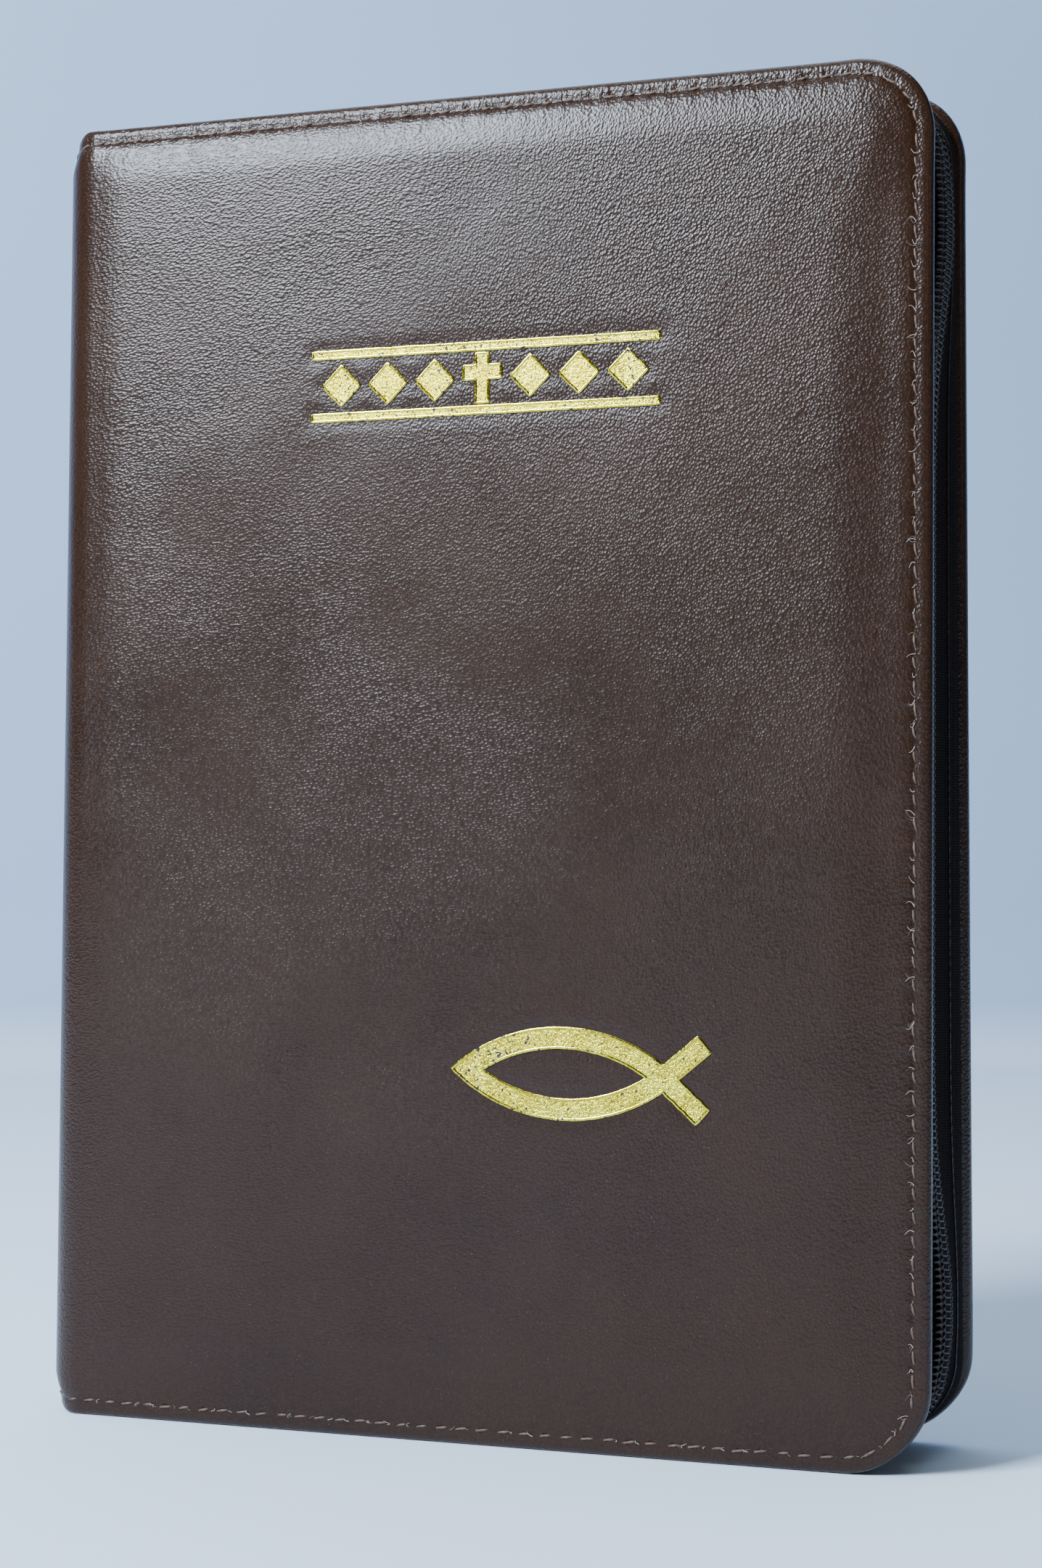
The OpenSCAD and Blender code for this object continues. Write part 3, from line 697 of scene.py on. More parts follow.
for side, body, word in COVERS:
    skin = leather_skin(side, word + "_leather_skin")
    bend_with_cover(skin)
    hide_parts(word + "_leather", "spine_leather")


# ---- stitching
def on_seam(along, inset):
    """(s, z) at a distance along the seam, moved in from the seam line by inset."""
    inwards = (rim(SEAM + 1.0) - rim(SEAM - 1.0)) / 2
    return [np.interp(along, SEAM_AT, SEAM_LINE[:, k]) + np.interp(along, SEAM_AT, inwards[:, k]) * inset
            for k in (0, 1)]


def stitch_row(side, seed):
    """Thread that dips into the leather at each hole and lies slightly slanted between them."""
    rng = np.random.default_rng(seed)
    parts = []
    for i in range(STITCHES):
        start = i * PITCH + rng.uniform(-0.12, 0.12)
        length = PITCH * rng.uniform(0.56, 0.72)
        t = np.linspace(0, 1, 10)
        slant = rng.uniform(0.10, 0.26)
        inset = slant * (1 - 2 * t) + rng.uniform(-0.10, 0.10)
        s, z = on_seam(start + t * length, inset)
        lift = -0.60 + rng.uniform(0.48, 0.60) * np.sin(math.pi * t) ** 0.5
        path = lay(s, z, lift, side)
        up = lay(s, z, lift + 1.0, side) - path
        parts.append(tube(settle(path, side), 0.18 + 0.02 * np.sin(math.pi * t), up, 8, 0.16, 2.6))
    return merge(parts)


def frayed_and_highlight_row(side, seed):
    """Pale torn hooks of leather and thread at the holes, most of them at the fore-edge and foot. Their pale
    colour is partly real torn fibre and partly a painted highlight on the torn edges.
    """
    rng = np.random.default_rng(seed)
    t = np.linspace(0, 1, 7)
    head_end, fore_end = 0.31, 0.70
    along, inset, lift, radius = [], [], [], []
    for i in range(STITCHES):
        share = i / STITCHES
        at_head, at_foot = share < head_end, share > fore_end
        for thick in [1.0] + [0.4] * rng.integers(0, 3):
            keep = rng.uniform() < (0.18 if at_head else 0.55 if at_foot else 0.85)
            reach = rng.uniform(0.3, 1.25) * (0.5 if at_head or at_foot else 1.0)
            start = i * PITCH - 0.25 + rng.uniform(-0.12, 0.12) + (1 - thick) * rng.uniform(-0.8, 0.8)
            bend = rng.uniform(0.15, 0.5) * rng.choice([-1, 1])
            drift = rng.uniform(-1.1, 1.1)
            curl = rng.uniform(0.0, 0.10)
            if not keep:
                continue
            along.append(start + bend * np.sin(math.pi * t) + drift * t)
            inset.append((1.25 * t - 0.55) * reach if at_foot else (1.1 * t - 0.12) * reach)
            lift.append(0.03 + curl + 0.07 * np.sin(math.pi * t))
            radius.append(0.085 * thick * (1 - 0.6 * t))
    along, inset, lift = np.array(along), np.array(inset), np.array(lift)
    s, z = on_seam(along, inset)
    high = crown_height(s, z, SEAM + inset, along, side) + lift
    paths, ups = lay(s, z, high, side), lay(s, z, high + 1.0, side)
    return merge([tube(settle(path, side), r, up - path, 5) for path, up, r in zip(paths, ups, radius)])


for side, body, word in COVERS:
    thread = make_piece(word + "_seam_thread", *stitch_row(side, 11 + side), M_THREAD, 80)
    fibres_and_highlights = make_piece(word + "_seam_fibres", *frayed_and_highlight_row(side, 21 + side), M_FIBRE_AND_HIGHLIGHT, 80)
    for obj in (thread, fibres_and_highlights):
        bend_with_cover(obj)
    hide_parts(word + "_stitching", "spine_stitching")


# ---- lining, board and padding
def leaf(xs, low, high, r, turns, rows):
    """An outline in x and z from foot to head, round at the fore-edge corners. xs are places on the foot."""
    right = xs[-1] + r
    a = np.radians(np.linspace(-90, 0, turns))
    c1 = np.stack([xs[-1] + r * np.cos(a), low + r + r * np.sin(a)], 1)
    c2 = np.stack([c1[::-1, 0], low + high - c1[::-1, 1]], 1)
    foot = np.stack([xs[:-1], np.full(len(xs) - 1, low)], 1)
    fore = np.stack([np.full(rows - 2, right), np.linspace(low + r, high - r, rows)[1:-1]], 1)
    head = np.stack([foot[::-1, 0], np.full(len(xs) - 1, high)], 1)
    return np.concatenate([foot, c1, fore, c2, head])


def outline(inset, left, step=6.0):
    """A cover's outline, square at the left."""
    r = max(CORNER_R - inset, 0.6)
    low, high, end = inset, CASE_H - inset, HALF_W - inset - r
    rows = int((high - low - 2 * r) / step)
    back = np.stack([np.full(rows - 2, left), np.linspace(high, low, rows)[1:-1]], 1)
    xs = np.linspace(left, end, int((end - left) / step))
    return np.concatenate([leaf(xs, low, high, r, 13, rows), back])


def plate(inset, left, y0, y1, soft, side):
    """Rings of a flat piece from y0 to y1, with edges rounded by soft."""
    half = ((8.0, 0.0), (2.5, 0.0), (soft, 0.0), (0.3 * soft, 0.3 * soft), (0.0, soft))
    rings = []
    for d, y in [(d, y0 + up) for d, up in half] + [(d, y1 - up) for d, up in half[::-1]]:
        line = outline(inset + d, left + d)
        rings.append(np.stack([line[:, 0], np.full(len(line), side * y), line[:, 1]], -1))
    return rings


def plate_piece(name, rings, material, side):
    """A piece from rings, each resampled to the shortest one's count."""
    count = min(len(r) for r in rings)
    want = np.linspace(0, 1, count, endpoint=False)
    even = []
    for r in rings:
        have = np.linspace(0, 1, len(r), endpoint=False)
        same = len(r) == count
        even.append(r if same else np.stack([np.interp(want, have, r[:, k]) for k in range(3)], -1))
    verts, faces = sweep(np.array(even))
    return make_piece(name, settle(verts, side), faces, material, 40)


PAD_Y = (BOARD_Y[1] + 0.02, BOARD_Y[1] + 0.85)
PLATES = (      # piece, node, slot, material, inset from the edge, left edge, inner and outer y, edge radius
    ("_lining_panel", "_lining", "lining", M_LINING, TURN_IN - 0.3, HINGE_X + 0.3, *LINING_Y, 0.18),
    ("_board_card", "_board", "board", M_BOARD, 3.7, HINGE_X + 1, *BOARD_Y, 0.15),
    ("_foam_pad", "_pad", "padding", M_FOAM, 6.5, HINGE_X + 4, *PAD_Y, 0.3))


def cover_plates(side, word, body):
    for name, node, slot, material, inset, left, y0, y1, soft in PLATES:
        rings = plate(inset, left, y0, y1, soft, side)
        assign(plate_piece(word + name, rings, material, side), body, slot, word + node)
    # the inner joint: leatherette that runs from the lining over the fold to the side of the pages
    zs = np.linspace(9.0, CASE_H - 9.0, 24)
    rings = []
    for x in np.linspace(HINGE_X - 4.0, HINGE_X + 12.0, 33):
        y = LINING_Y[0] - 0.06 - 0.12 * smooth((HINGE_X - x) / 3.0)
        rings.append([[x, side * y, z] for z in zs] + [[x, side * (y - 0.10), z] for z in zs[::-1]])
    joint = make_piece(word + "_inner_joint", *sweep(np.array(rings)), M_LINING, 60)
    bend_with_cover(joint, (HINGE_X - 1.0, HINGE_X + 5.0))


for side, body, word in COVERS:
    cover_plates(side, word, body)


# ---- zip
ZIP_R = 11.4                    # corner radius of the coil's line
ZIP_OUT = CORNER_R - ZIP_R      # inset of the coil's middle from the cover's edge
COIL_PITCH = 1.05
SEAM_SHARE = 0.30               # how far from the turn-in to the coil the tape's sewn line runs
TURN_WALL = 1.15                # turn-in's thickness, where the tape comes out
TAPE_HALF = 0.2                 # half the tape's thickness
TAPE_BEND, TAPE_EDGE, TAPE_DROP = 2.6, 0.35, -0.80      # across and height of the tape under the coil
START_X = HINGE_X + 15.7        # the covers' share of the zip begins here
END_X = box_mm("head_zip_end_tape")[0][0]
HEAD_LEN = HALF_W - CORNER_R - START_X
BEND_LEN = math.pi / 2 * ZIP_R
FORE_LEN = CASE_H - 2 * CORNER_R
ZIP_LEN = 2 * HEAD_LEN + 2 * BEND_LEN + FORE_LEN


def zip_line(p):
    """Middle of the closed coil at p along the covers' share: (x, z), and which way is outwards."""
    p = np.asarray(p, float)
    a = math.pi / 2 - np.clip((p - HEAD_LEN) / ZIP_R, 0, math.pi / 2)
    a = a - np.clip((p - HEAD_LEN - BEND_LEN - FORE_LEN) / ZIP_R, 0, math.pi / 2)
    x = START_X + np.clip(p, None, HEAD_LEN) - np.clip(p - ZIP_LEN + HEAD_LEN, 0, None)
    z = CASE_H - CORNER_R - np.clip(p - HEAD_LEN - BEND_LEN, 0, FORE_LEN)
    return np.stack([x + ZIP_R * np.cos(a), z + ZIP_R * np.sin(a)], -1), np.stack([np.cos(a), np.sin(a)], -1)


BULGES = ((189, 19), (22, 19.5))                        # height and spread of the tape's two bulges
SWAY_X, SWAY_RUN = HALF_W - 21.5, 18                    # the tape runs straight up to here, for the slider


def zip_sway(p):
    """How the real tape wanders: (extra inset, sideways shift, tilt) at p. It bulges near the two corners."""
    line, _ = zip_line(p)
    x, z = line[..., 0], line[..., 1]
    bulge = sum(np.exp(-((z - at) / spread) ** 2) for at, spread in BULGES)
    fore = smooth((x - SWAY_X) / SWAY_RUN)
    inset = fore * (1.75 - 2.1 * bulge + 1.1 * smooth((20 - z) / 20))
    shift = fore * (-1.4 + 1.9 * bulge)
    tilt = fore * np.radians(3 + 15 * bulge)
    return inset, shift, tilt


def zip_point(p, across, height):
    """A point on the closed zip: across is +Y from its middle, height is outwards from the coil's middle."""
    line, out = zip_line(p)
    inset, shift, tilt = zip_sway(p)
    y = shift + across * np.cos(tilt) - height * np.sin(tilt)
    h = -inset + across * np.sin(tilt) + height * np.cos(tilt)
    return np.stack([line[..., 0] + out[..., 0] * h, y, line[..., 1] + out[..., 1] * h], -1)


def straight_point(z_edge, sign):
    """The zip next to the spine, which is straight and level. sign is +1 at the head and -1 at the foot."""
    def place(x, across, height):
        x, across, height = np.broadcast_arrays(np.asarray(x, float), across, height)
        return np.stack([x, across, z_edge + sign * height], -1)
    return place


def coil_half(place, start, end, side):
    """One coil, its loops reaching just over the middle to catch the other's."""
    turns = int((end - start) / COIL_PITCH) - 1
    per_turn = 12
    phi = np.arange(turns * per_turn + 1) / per_turn * 2 * math.pi
    p = start + 0.6 + COIL_PITCH * (phi / (2 * math.pi) + (0.0 if side < 0 else 0.5))
    reach = np.cos(phi)
    across = side * (1.08 - 1.22 * reach)
    height = 0.42 * np.sin(phi) + 0.08 * np.maximum(reach, 0)
    lean = 0.16 * np.sin(phi)
    path = place(p + lean, across, height)
    middle = place(p, across * 0 + side * 1.05, height * 0)
    radius = 0.23 + 0.04 * np.clip(reach, 0, 1) ** 2
    return tube(path, radius, path - middle + 1e-6, 6)


def coil_thread(place, start, end, side):
    """The line of lockstitch that holds the coil on its tape."""
    p = np.arange(start + 0.8, end - 0.6, COIL_PITCH / 4)
    parts = []
    for across, phase in ((1.25, 0.0), (1.75, 1.6)):
        height = 0.50 + 0.13 * np.cos(2 * math.pi * p / COIL_PITCH + phase)
        wiggle = side * (across + 0.10 * np.sin(2 * math.pi * p / COIL_PITCH + phase))
        path = place(p, wiggle, height)
        up = place(p, wiggle, height + 1) - path
        parts.append(tube(path, 0.11, up, 4))
    return merge(parts)


def tape_strip(rows, outs):
    """A strip of tape through rows of points. outs is which way is outwards at each row."""
    rings = []
    for row, out in zip(rows, outs):
        normal = np.cross(np.gradient(row, axis=0), np.cross(out, np.array([0, 1.0, 0])))
        normal /= np.linalg.norm(normal, axis=1)[:, None] + 1e-9
        rings.append(np.concatenate([row + normal * TAPE_HALF, (row - normal * TAPE_HALF)[::-1]]))
    return sweep(np.array(rings))


def cover_tape(ps, side):
    """Tape from the leg under the turn-in, out to the edge and across to the coil."""
    line, out = zip_line(ps)
    outs = np.column_stack([out[:, 0], 0 * ps, out[:, 1]])
    down = np.array([0, -side * 1.0, 0])
    held = np.concatenate([np.ones(5), np.linspace(1, 0, 8)[1:], [0]])
    rows = []
    for p, (x, z), o in zip(ps, line, outs):
        foot = np.array([x, side * (FLANGE_Y - 0.62), z])
        shoulder = foot + o * (ZIP_OUT - TURN_WALL)
        leg = foot + o * (ZIP_OUT - 6.8)
        near = foot + o * (ZIP_OUT - TURN_WALL - 1.6)
        corner = shoulder + down * 0.8
        under = zip_point(p, side * TAPE_BEND, TAPE_DROP)
        row = [leg, (leg + near) / 2, near, shoulder - o * 0.45 + down * 0.10, corner]
        slack = np.sin(np.linspace(0, math.pi, 8)[1:])[:, None] * o * -0.35
        row += list(corner + (under - corner) * np.linspace(0, 1, 8)[1:, None] + slack)
        row = np.array(row + [zip_point(p, side * TAPE_EDGE, TAPE_DROP)])
        rows.append(row + sag(row) * held[:, None] if side > 0 else row)
    return tape_strip(rows, outs)


def end_tape(place, xs, side):
    """Tape of the zip's fixed end, straight across to the coil."""
    rows = []
    for x in xs:
        shoulder = place(x, side * (FLANGE_Y - 0.9), TAPE_DROP)
        under = place(x, side * TAPE_BEND, TAPE_DROP)
        row = [shoulder + (under - shoulder) * t for t in np.linspace(0, 1, 7)]
        rows.append(np.array(row + [place(x, side * TAPE_EDGE, TAPE_DROP)]))
    return tape_strip(rows, [place(0, 0, 1.0) - place(0, 0, 0.0)] * len(xs))


def tape_seam(ps, side):
    """The sewn line along the tape, where it turns out from under the leather."""
    line, out = zip_line(ps)
    o = np.column_stack([out[:, 0], 0 * ps, out[:, 1]])
    shoulder = np.column_stack([line[:, 0], 0 * ps + side * (FLANGE_Y - 1.42), line[:, 1]])
    shoulder = shoulder + o * (ZIP_OUT - TURN_WALL)
    under = zip_point(ps, side * TAPE_BEND, TAPE_DROP)
    path = shoulder + (under - shoulder) * SEAM_SHARE + o * 0.05
    if side > 0:
        path = path + sag(path) * (1 - SEAM_SHARE)
    return tube(path, 0.13 + 0.03 * np.sin(2 * math.pi * ps / 1.6), o, 6)


STATIONS = spans((0, HEAD_LEN, 50), (HEAD_LEN, HEAD_LEN + BEND_LEN, 13),
                 (HEAD_LEN + BEND_LEN, HEAD_LEN + BEND_LEN + FORE_LEN, 95),
                 (ZIP_LEN - HEAD_LEN - BEND_LEN, ZIP_LEN - HEAD_LEN, 13), (ZIP_LEN - HEAD_LEN, ZIP_LEN, 50))

for side, body, word in COVERS:
    coil = merge([part(zip_point, 0, ZIP_LEN, side) for part in (coil_half, coil_thread)])
    sewn = tape_seam(np.arange(6.0, ZIP_LEN - 6.0, 0.4), side)
    for name, mesh, material, sharp, slot, node in (
            ("_zip_tape_cloth", cover_tape(STATIONS, side), M_TAPE, 60, "zip_tape", "_zip_tape"),
            ("_zip_coil_loops", coil, M_COIL, 80, "zip_coil", "_zip_coil"),
            ("_zip_tape_seam", sewn, M_COIL, 80, "thread", "_zip_tape")):
        assign(make_piece(word + name, *mesh, material, sharp), body, slot, word + node)

for word, edge, sign in (("head", CASE_H - ZIP_OUT, 1), ("tail", ZIP_OUT, -1)):
    place = straight_point(edge, sign)
    xs = np.linspace(END_X, START_X - 0.2, 14)
    stop = HINGE_X + 3.0
    cloth = merge([end_tape(place, xs, s) for s in (-1, 1)])
    loops = merge([part(place, stop, START_X + past, s)
                   for part, past in ((coil_half, 0.9), (coil_thread, 0.4)) for s in (-1, 1)])
    assign(make_piece(word + "_zip_end_cloth", *cloth, M_TAPE, 60), ROOT, "zip_tape", word + "_zip_end_tape")
    assign(make_piece(word + "_zip_end_loops", *loops, M_COIL, 80), ROOT, "zip_coil", word + "_zip_end_coil")


# ---- slider and pull
def rounded_rect(w, h, r, n=6):
    """Points round a rectangle centred on nought, w along X and h along Y."""
    corners = ((1, 1, 0), (-1, 1, 90), (-1, -1, 180), (1, -1, 270))
    return np.array([(sx * (w / 2 - r) + r * math.cos(a), sy * (h / 2 - r) + r * math.sin(a))
                     for sx, sy, a0 in corners for a in np.radians(np.linspace(a0, a0 + 90, n))])


def slab(w, h, r, z0, z1, at=(0, 0), soft=0.18, taper=0.0):
    """A plate with rounded corners and softened edges. taper narrows its far end."""
    rings = []
    for d, z in ((soft, z0), (soft * 0.3, z0 + soft * 0.3), (0, z0 + soft), (0, z1 - soft),
                 (soft * 0.3, z1 - soft * 0.3), (soft, z1)):
        pts = rounded_rect(w - 2 * d, h - 2 * d, r - d * 0.6)
        pts[:, 1] *= 1 - taper * (pts[:, 0] / w + 0.5)
        rings.append(np.column_stack([pts[:, 0] + at[0], pts[:, 1] + at[1], np.full(len(pts), z)]))
    return sweep(rings)


def slider_pieces():
    low, high = box_mm("slider_body")
    plate_t = 0.8
    x = (low[0] + high[0]) / 2
    length, width = high[0] - low[0], high[1] - low[1]
    wing = 2.35
    top_z = high[2] - 1.65
    parts = [slab(length, width, 2.4, low[2], low[2] + plate_t, (x, 0), taper=0.18),
             slab(length, width, 2.4, top_z - plate_t, top_z, (x, 0), taper=0.18)]
    for s in (-1, 1):
        parts.append(slab(length - 3.0, 0.6, 0.25, top_z - wing + 0.4, top_z - 0.2,
                          (x, s * (width / 2 - 0.32)), 0.1))
    parts.append(slab(2.8, 0.6, 0.25, low[2] + 0.2, top_z - 0.2, (low[0] + 1.4, 0), 0.1))
    a = np.linspace(0, math.pi, 15)
    arch = np.column_stack([x + 1.35 * np.cos(a), 0 * a, top_z - 0.1 + 1.35 * np.sin(a) ** 0.6])
    parts.append(tube(arch, 0.36, (0, 1, 0), 8))
    return merge(parts)


def pull_piece():
    low, high = box_mm("pull_tab")
    z0, z1 = low[2], high[2]
    x0 = low[0] + 0.45
    mid = (z0 + z1) / 2
    bar = np.column_stack([np.full(9, x0), np.linspace(-1.7, 1.7, 9), np.full(9, mid)])
    parts = [tube(bar, 0.42, (0, 0, 1), 10)]
    for s in (-1, 1):
        parts.append(slab(3.6, 0.75, 0.3, z0 + 0.05, z1 - 0.05, (x0 + 1.5, s * 1.35), 0.12))
    start, end = x0 + 2.2, high[0]
    hole_x, hole_r = end - 4, 1.3
    outer = rounded_rect(end - start, 4.9, 1.7, 8) + [(start + end) / 2, 0]
    angle = np.arctan2(outer[:, 1], outer[:, 0] - hole_x)
    inner = np.column_stack([hole_x + hole_r * np.cos(angle), hole_r * np.sin(angle)])
    centre = np.array([(start + end) / 2, 0])
    rings = []
    for line, d, z in ((inner, 0, z0 + 0.15), (inner, 0.12, z0), (outer, 0.16, z0), (outer, 0, z0 + 0.16),
                       (outer, 0, z1 - 0.16), (outer, 0.16, z1), (outer, 0.75, z1), (outer, 0.95, z1 - 0.14),
                       (inner, 0.9, z1 - 0.14), (inner, 0.7, z1), (inner, 0.12, z1), (inner, 0, z1 - 0.15)):
        if line is outer:
            pts = centre + (line - centre) * [1 - 2 * d / (end - start), 1 - 2 * d / 4.9]
        else:
            pts = [hole_x, 0] + (line - [hole_x, 0]) * (hole_r + d) / hole_r
        rings.append(np.column_stack([pts, np.full(len(pts), z)]))
    parts.append(sweep(rings, closed=True))
    return merge(parts)


assign(make_piece("slider_casting", *slider_pieces(), M_METAL, 40), "slider", "metal", "slider_body")
assign(make_piece("pull_casting", *pull_piece(), M_METAL, 40), "pull", "metal", "pull_tab")


# ---- text block
PAGE_R, BEND = 8.0, 6.0         # corner radius of the pages, and how wide they bend beside the sewn backs


def pages(word, kind, side):
    """One group of pages, its points set closer together next to the sewn backs."""
    node = f"{word}_{kind}"
    y_in, y_out = sorted(abs(corner[1]) for corner in box_mm(node))
    left = BACKS_X + 0.02
    soft = min(0.5, (y_out - y_in) * 0.3)
    rings = []
    for inset, y in ((soft, y_out), (0.3 * soft, y_out - 0.25 * soft), (0, y_out - soft), (0, y_in + soft),
                     (0.3 * soft, y_in + 0.25 * soft), (soft, y_in)):
        r = PAGE_R - inset
        xs = left + (PAGE_HIGH[0] - inset - r - left) * np.linspace(0, 1, 22) ** 1.6
        line = leaf(xs, PAGE_LOW[2] + inset, PAGE_HIGH[2] - inset, r, 10, 10)
        rings.append(np.column_stack([line[:, 0], np.full(len(line), side * y), line[:, 1]]))
    rings = np.array(rings)
    verts, faces = sweep(rings, cap=False)
    m = rings.shape[1]
    for base, flip in ((0, True), (5 * m, False)):
        for i in range(m // 2 - 1):
            face = (base + i, base + i + 1, base + m - 2 - i, base + m - 1 - i)
            faces.append(face[::-1] if flip else face)
    obj = make_piece(node + "_paper", verts, faces, M_PAPER, 50)
    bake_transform(obj)
    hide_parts(node)


for word, side in (("front", -1), ("back", 1)):
    for kind in ("endleaf", "leaf_a", "section_1", "leaf_b", "section_2", "leaf_c"):
        pages(word, kind, side)


def bands():
    """Head and tail bands: silk wound round a core, with a bead of thread along it."""
    for word, sign in (("head", 1), ("tail", -1)):
        low, high = box_mm(word + "_band")
        z = low[2] + 0.9 if sign > 0 else high[2] - 0.9
        x = (low[0] + high[0]) / 2
        ys = np.linspace(low[1] + 0.05, high[1] - 0.05, 160)
        path = np.column_stack([np.full(160, x), ys, np.full(160, z)])
        wound = 0.80 + 0.06 * np.abs(np.sin(ys * 2 * math.pi / 1.3))
        bead = path + [0.55, 0, -sign * 0.55]
        bead[:, 2] += 0.08 * np.sin(ys * 9)
        parts = [tube(path, wound, (0, 0, 1), 12), tube(bead, 0.2, (0, 0, 1), 6)]
        obj = make_piece(word + "_band_silk", *merge(parts), M_BAND, 80)
        assign(obj, ROOT, "band_cloth", word + "_band")


NOTCH = 1.6                     # height of the ribbon's pointed end


def ribbon():
    """The marker, a little askew, which ends in a point at its foot."""
    low, high = box_mm("ribbon_marker")
    width, head_x = 6.0, low[0]
    cols = np.linspace(0, width, 7)
    shift = high[0] - low[0] - width
    y0, y1 = low[1] + 0.015, high[1] - 0.015
    t = np.linspace(0, 1, 60)
    z = high[2] + (low[2] - high[2]) * t
    rings = []
    for k, zz in zip(t, z):
        x = head_x + shift * k + cols
        notch = (NOTCH if k == 1 else 0.0) * np.abs(cols - width / 2) / (width / 2)
        front, back = (np.column_stack([x, np.full(7, y), zz + notch]) for y in (y0, y1))
        rings.append(np.concatenate([front, back[::-1]]))
    obj = make_piece("ribbon_marker_satin", *sweep(np.array(rings)), M_RIBBON, 40)
    assign(obj, ROOT, "ribbon", "ribbon_marker")


bands()
ribbon()


# ---- gold foil on the front
def foil_piece(name, loops, node, seed):
    """Foil filled between its outlines, with the bright raised bead that the hot stamp leaves round it."""
    level = -(FACE_Y - 0.15)
    curve = bpy.data.curves.new(name, "CURVE")
    curve.dimensions = "2D"
    curve.fill_mode = "BOTH"
    curve.extrude = 0.03 * MM
    curve.bevel_depth = 0.05 * MM
    curve.bevel_resolution = 2
    for loop in loops:
        spline = curve.splines.new("POLY")
        spline.points.add(len(loop) - 1)
        nought = 0 * loop[:, 0]
        spline.points.foreach_set("co", np.column_stack([loop * MM, nought, nought + 1]).ravel())
        spline.use_cyclic_u = True
    holder = bpy.data.objects.new(name + "_curve", curve)
    bpy.context.scene.collection.objects.link(holder)
    bpy.context.view_layer.update()
    flat = holder.evaluated_get(bpy.context.evaluated_depsgraph_get()).to_mesh()
    v = np.array([p.co for p in flat.vertices]) / MM
    fill = (np.column_stack([v[:, 0], level - v[:, 2], v[:, 1]]), [tuple(p.vertices) for p in flat.polygons])
    bpy.data.objects.remove(holder)
    parts = [fill]
    for loop in loops:
        line = resample(loop, 0.45)
        wob = noise(np.column_stack([line, 0 * line[:, 0]]), 0.8, seed) * 0.04
        ring = np.column_stack([line[:, 0] + wob, np.full(len(line), level - 0.04), line[:, 1] + wob])
        tangent = np.roll(ring, -1, axis=0) - np.roll(ring, 1, axis=0)
        tangent /= np.linalg.norm(tangent, axis=1)[:, None]
        across = np.cross(tangent, [0, 1, 0])
        a = np.linspace(0, 2 * math.pi, 12, endpoint=False)
        rings = ring[:, None] + across[:, None] * (0.26 * np.cos(a))[None, :, None]
        rings = rings + np.array([0, -1.0, 0]) * (0.15 * np.sin(a))[None, :, None]
        parts.append(sweep(rings, closed=True))
    rims = sum(len(faces) for _, faces in parts[1:])
    obj = make_piece(name, *merge(parts), M_FOIL, 50)
    obj.data.materials.append(M_FOIL_RIM)
    total = len(obj.data.polygons)
    obj.data.polygons.foreach_set("material_index", [0] * (total - rims) + [1] * rims)
    assign(obj, FRONT, "gold_foil", node)


foil_piece("fish_emblem_foil", FISH, "fish_emblem", 5)
foil_piece("title_ornament_foil", ORNAMENT, "title_ornament", 6)


# ---- CAD nodes that stay, with their own finish
def dress(node, material, soften):
    """Gives a CAD node its material, and rounds its edges by soften millimetres."""
    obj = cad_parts[node]
    obj.data.materials.clear()
    obj.data.materials.append(material)
    if soften:
        bevel = obj.modifiers.new("soften", "BEVEL")
        bevel.width = soften * MM
        bevel.segments = 3
        bevel.limit_method = "ANGLE"


for node, material, soften in (("sewn_page_backs", M_BLOCK, 0.3), ("page_core", M_BLOCK, 0.3),
                               ("spine_stiffener", M_CARD, 0.2), ("spine_hollow_tube", M_KRAFT, 0.0),
                               ("spine_gauze", M_GAUZE, 0.1), ("head_zip_stops", M_STOP, 0.25),
                               ("tail_zip_stop", M_STOP, 0.25)):
    dress(node, material, soften)


# ---- camera
YAW, PITCH_UP, ROLL, LENS = 19.52, 2.26, 0.45, 63.62
EYE = (1.069 * CASE_H, -1.915 * CASE_H, 0.404 * CASE_H)  # from the front cover's left foot corner


def photo_camera():
    yaw, pitch, roll = (math.radians(a) for a in (YAW, PITCH_UP, ROLL))
    forward = Vector((-math.sin(yaw) * math.cos(pitch), math.cos(yaw) * math.cos(pitch), math.sin(pitch)))
    right = Vector((math.cos(yaw), math.sin(yaw), 0))
    up = right.cross(forward)
    tilted_right = math.cos(roll) * right + math.sin(roll) * up
    tilted_up = -math.sin(roll) * right + math.cos(roll) * up
    data = bpy.data.cameras.new("camera")
    data.sensor_fit = "AUTO"
    data.sensor_width = 36.0
    data.lens = LENS
    data.clip_start = 0.01
    obj = bpy.data.objects.new("camera", data)
    bpy.context.scene.collection.objects.link(obj)
    turn = Matrix((tilted_right, tilted_up, -forward)).transposed().to_4x4()
    obj.matrix_world = Matrix.Translation(point(EYE[0] - HALF_W, EYE[1] - BAND_Y, EYE[2])) @ turn
    bpy.context.scene.camera = obj


photo_camera()


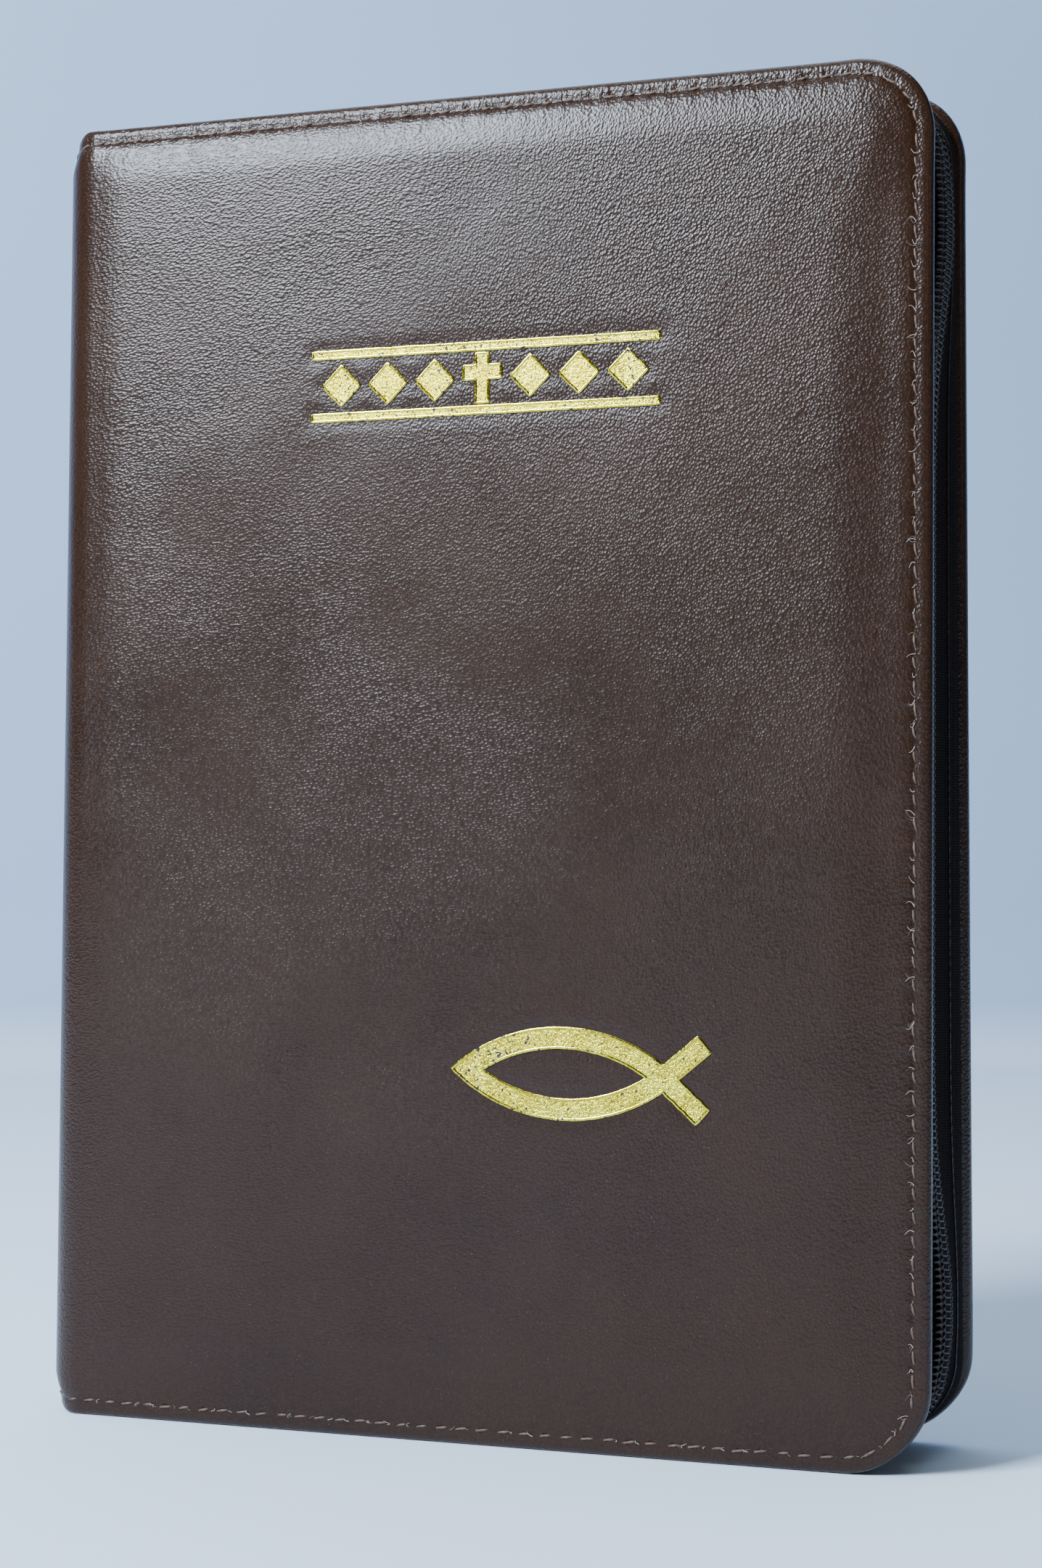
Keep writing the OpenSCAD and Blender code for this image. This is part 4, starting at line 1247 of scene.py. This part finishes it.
# ---- floor, backdrop and light
def backdrop():
    """A pale floor that curves up into a wall behind."""
    half, far, r = 2.5, 0.86, 0.08
    profile = [(-half, 0.0), (-0.6, 0.0), (0.2, 0.0), (far, 0.0)]
    profile += [(far + r * math.sin(a), r - r * math.cos(a)) for a in np.linspace(0.1, math.pi / 2, 12)]
    profile += [(far + r, 1.2), (far + r, 3.0)]
    xs = np.linspace(-half, half, 31)
    verts = [(x, y + 0.02 * math.sin(x * 2.1), z) for y, z in profile for x in xs]
    n = len(xs)
    faces = [(i * n + j, i * n + j + 1, (i + 1) * n + j + 1, (i + 1) * n + j)
             for i in range(len(profile) - 1) for j in range(n - 1)]
    mesh = bpy.data.meshes.new("backdrop")
    mesh.from_pydata(verts, [], faces)
    mesh.polygons.foreach_set("use_smooth", [True] * len(mesh.polygons))
    f = Finish("backdrop_paper", cad=True)
    cloud = f.noise(f.at, 3.0, 3.0)
    floor = f.ramp(cloud, (0.3, (0.70, 0.825, 0.965)), (0.7, (0.74, 0.86, 1.0)))
    wall = f.ramp(cloud, (0.3, (0.42, 0.55, 0.73)), (0.7, (0.45, 0.58, 0.76)))
    rise = f.ramp(f.node("SeparateXYZ", {"Vector": f.at})["Z"], (0.002, 0.0), (0.03, 1.0))
    mesh.materials.append(f.done({"Base Color": f.mix(rise, floor, wall), "Roughness": 0.9,
                                  "Specular IOR Level": 0.2}))
    obj = bpy.data.objects.new("backdrop", mesh)
    bpy.context.scene.collection.objects.link(obj)
    obj.rotation_euler = (0, 0, math.radians(30))


LIGHTS = (                      # name, place, what it points at, size, watts, colour
    ("key", (-0.575, -0.98, 0.825), (-0.03, 0, 0.15), (0.42, 0.5), 53.0, (0.765, 0.872, 1.0)),
    ("top", (-0.1, 0.3, 1.6), (0, 0.35, 0), (1.6, 1.2), 15.5, (0.85, 0.93, 1.0)),
    ("right", (1.3, -0.3, 0.7), (0, 0, 0.1), (0.6, 0.8), 0.9, (0.92, 0.96, 1.0)))


def area_light(name, place, target, size, power, colour):
    data = bpy.data.lights.new(name, "AREA")
    data.shape = "RECTANGLE"
    data.size, data.size_y = size
    data.energy = power
    data.color = colour
    obj = bpy.data.objects.new(name, data)
    obj.location = place
    obj.rotation_euler = (Vector(target) - Vector(place)).to_track_quat("-Z", "Y").to_euler()
    bpy.context.scene.collection.objects.link(obj)


def lighting():
    world = bpy.data.worlds.new("studio")
    bpy.context.scene.world = world
    world.use_nodes = True
    background = world.node_tree.nodes["Background"].inputs
    background["Color"].default_value = (0.82, 0.89, 1.0, 1)
    background["Strength"].default_value = 0.085
    for light in LIGHTS:
        area_light(*light)


backdrop()
lighting()

bpy.context.view_layer.update()
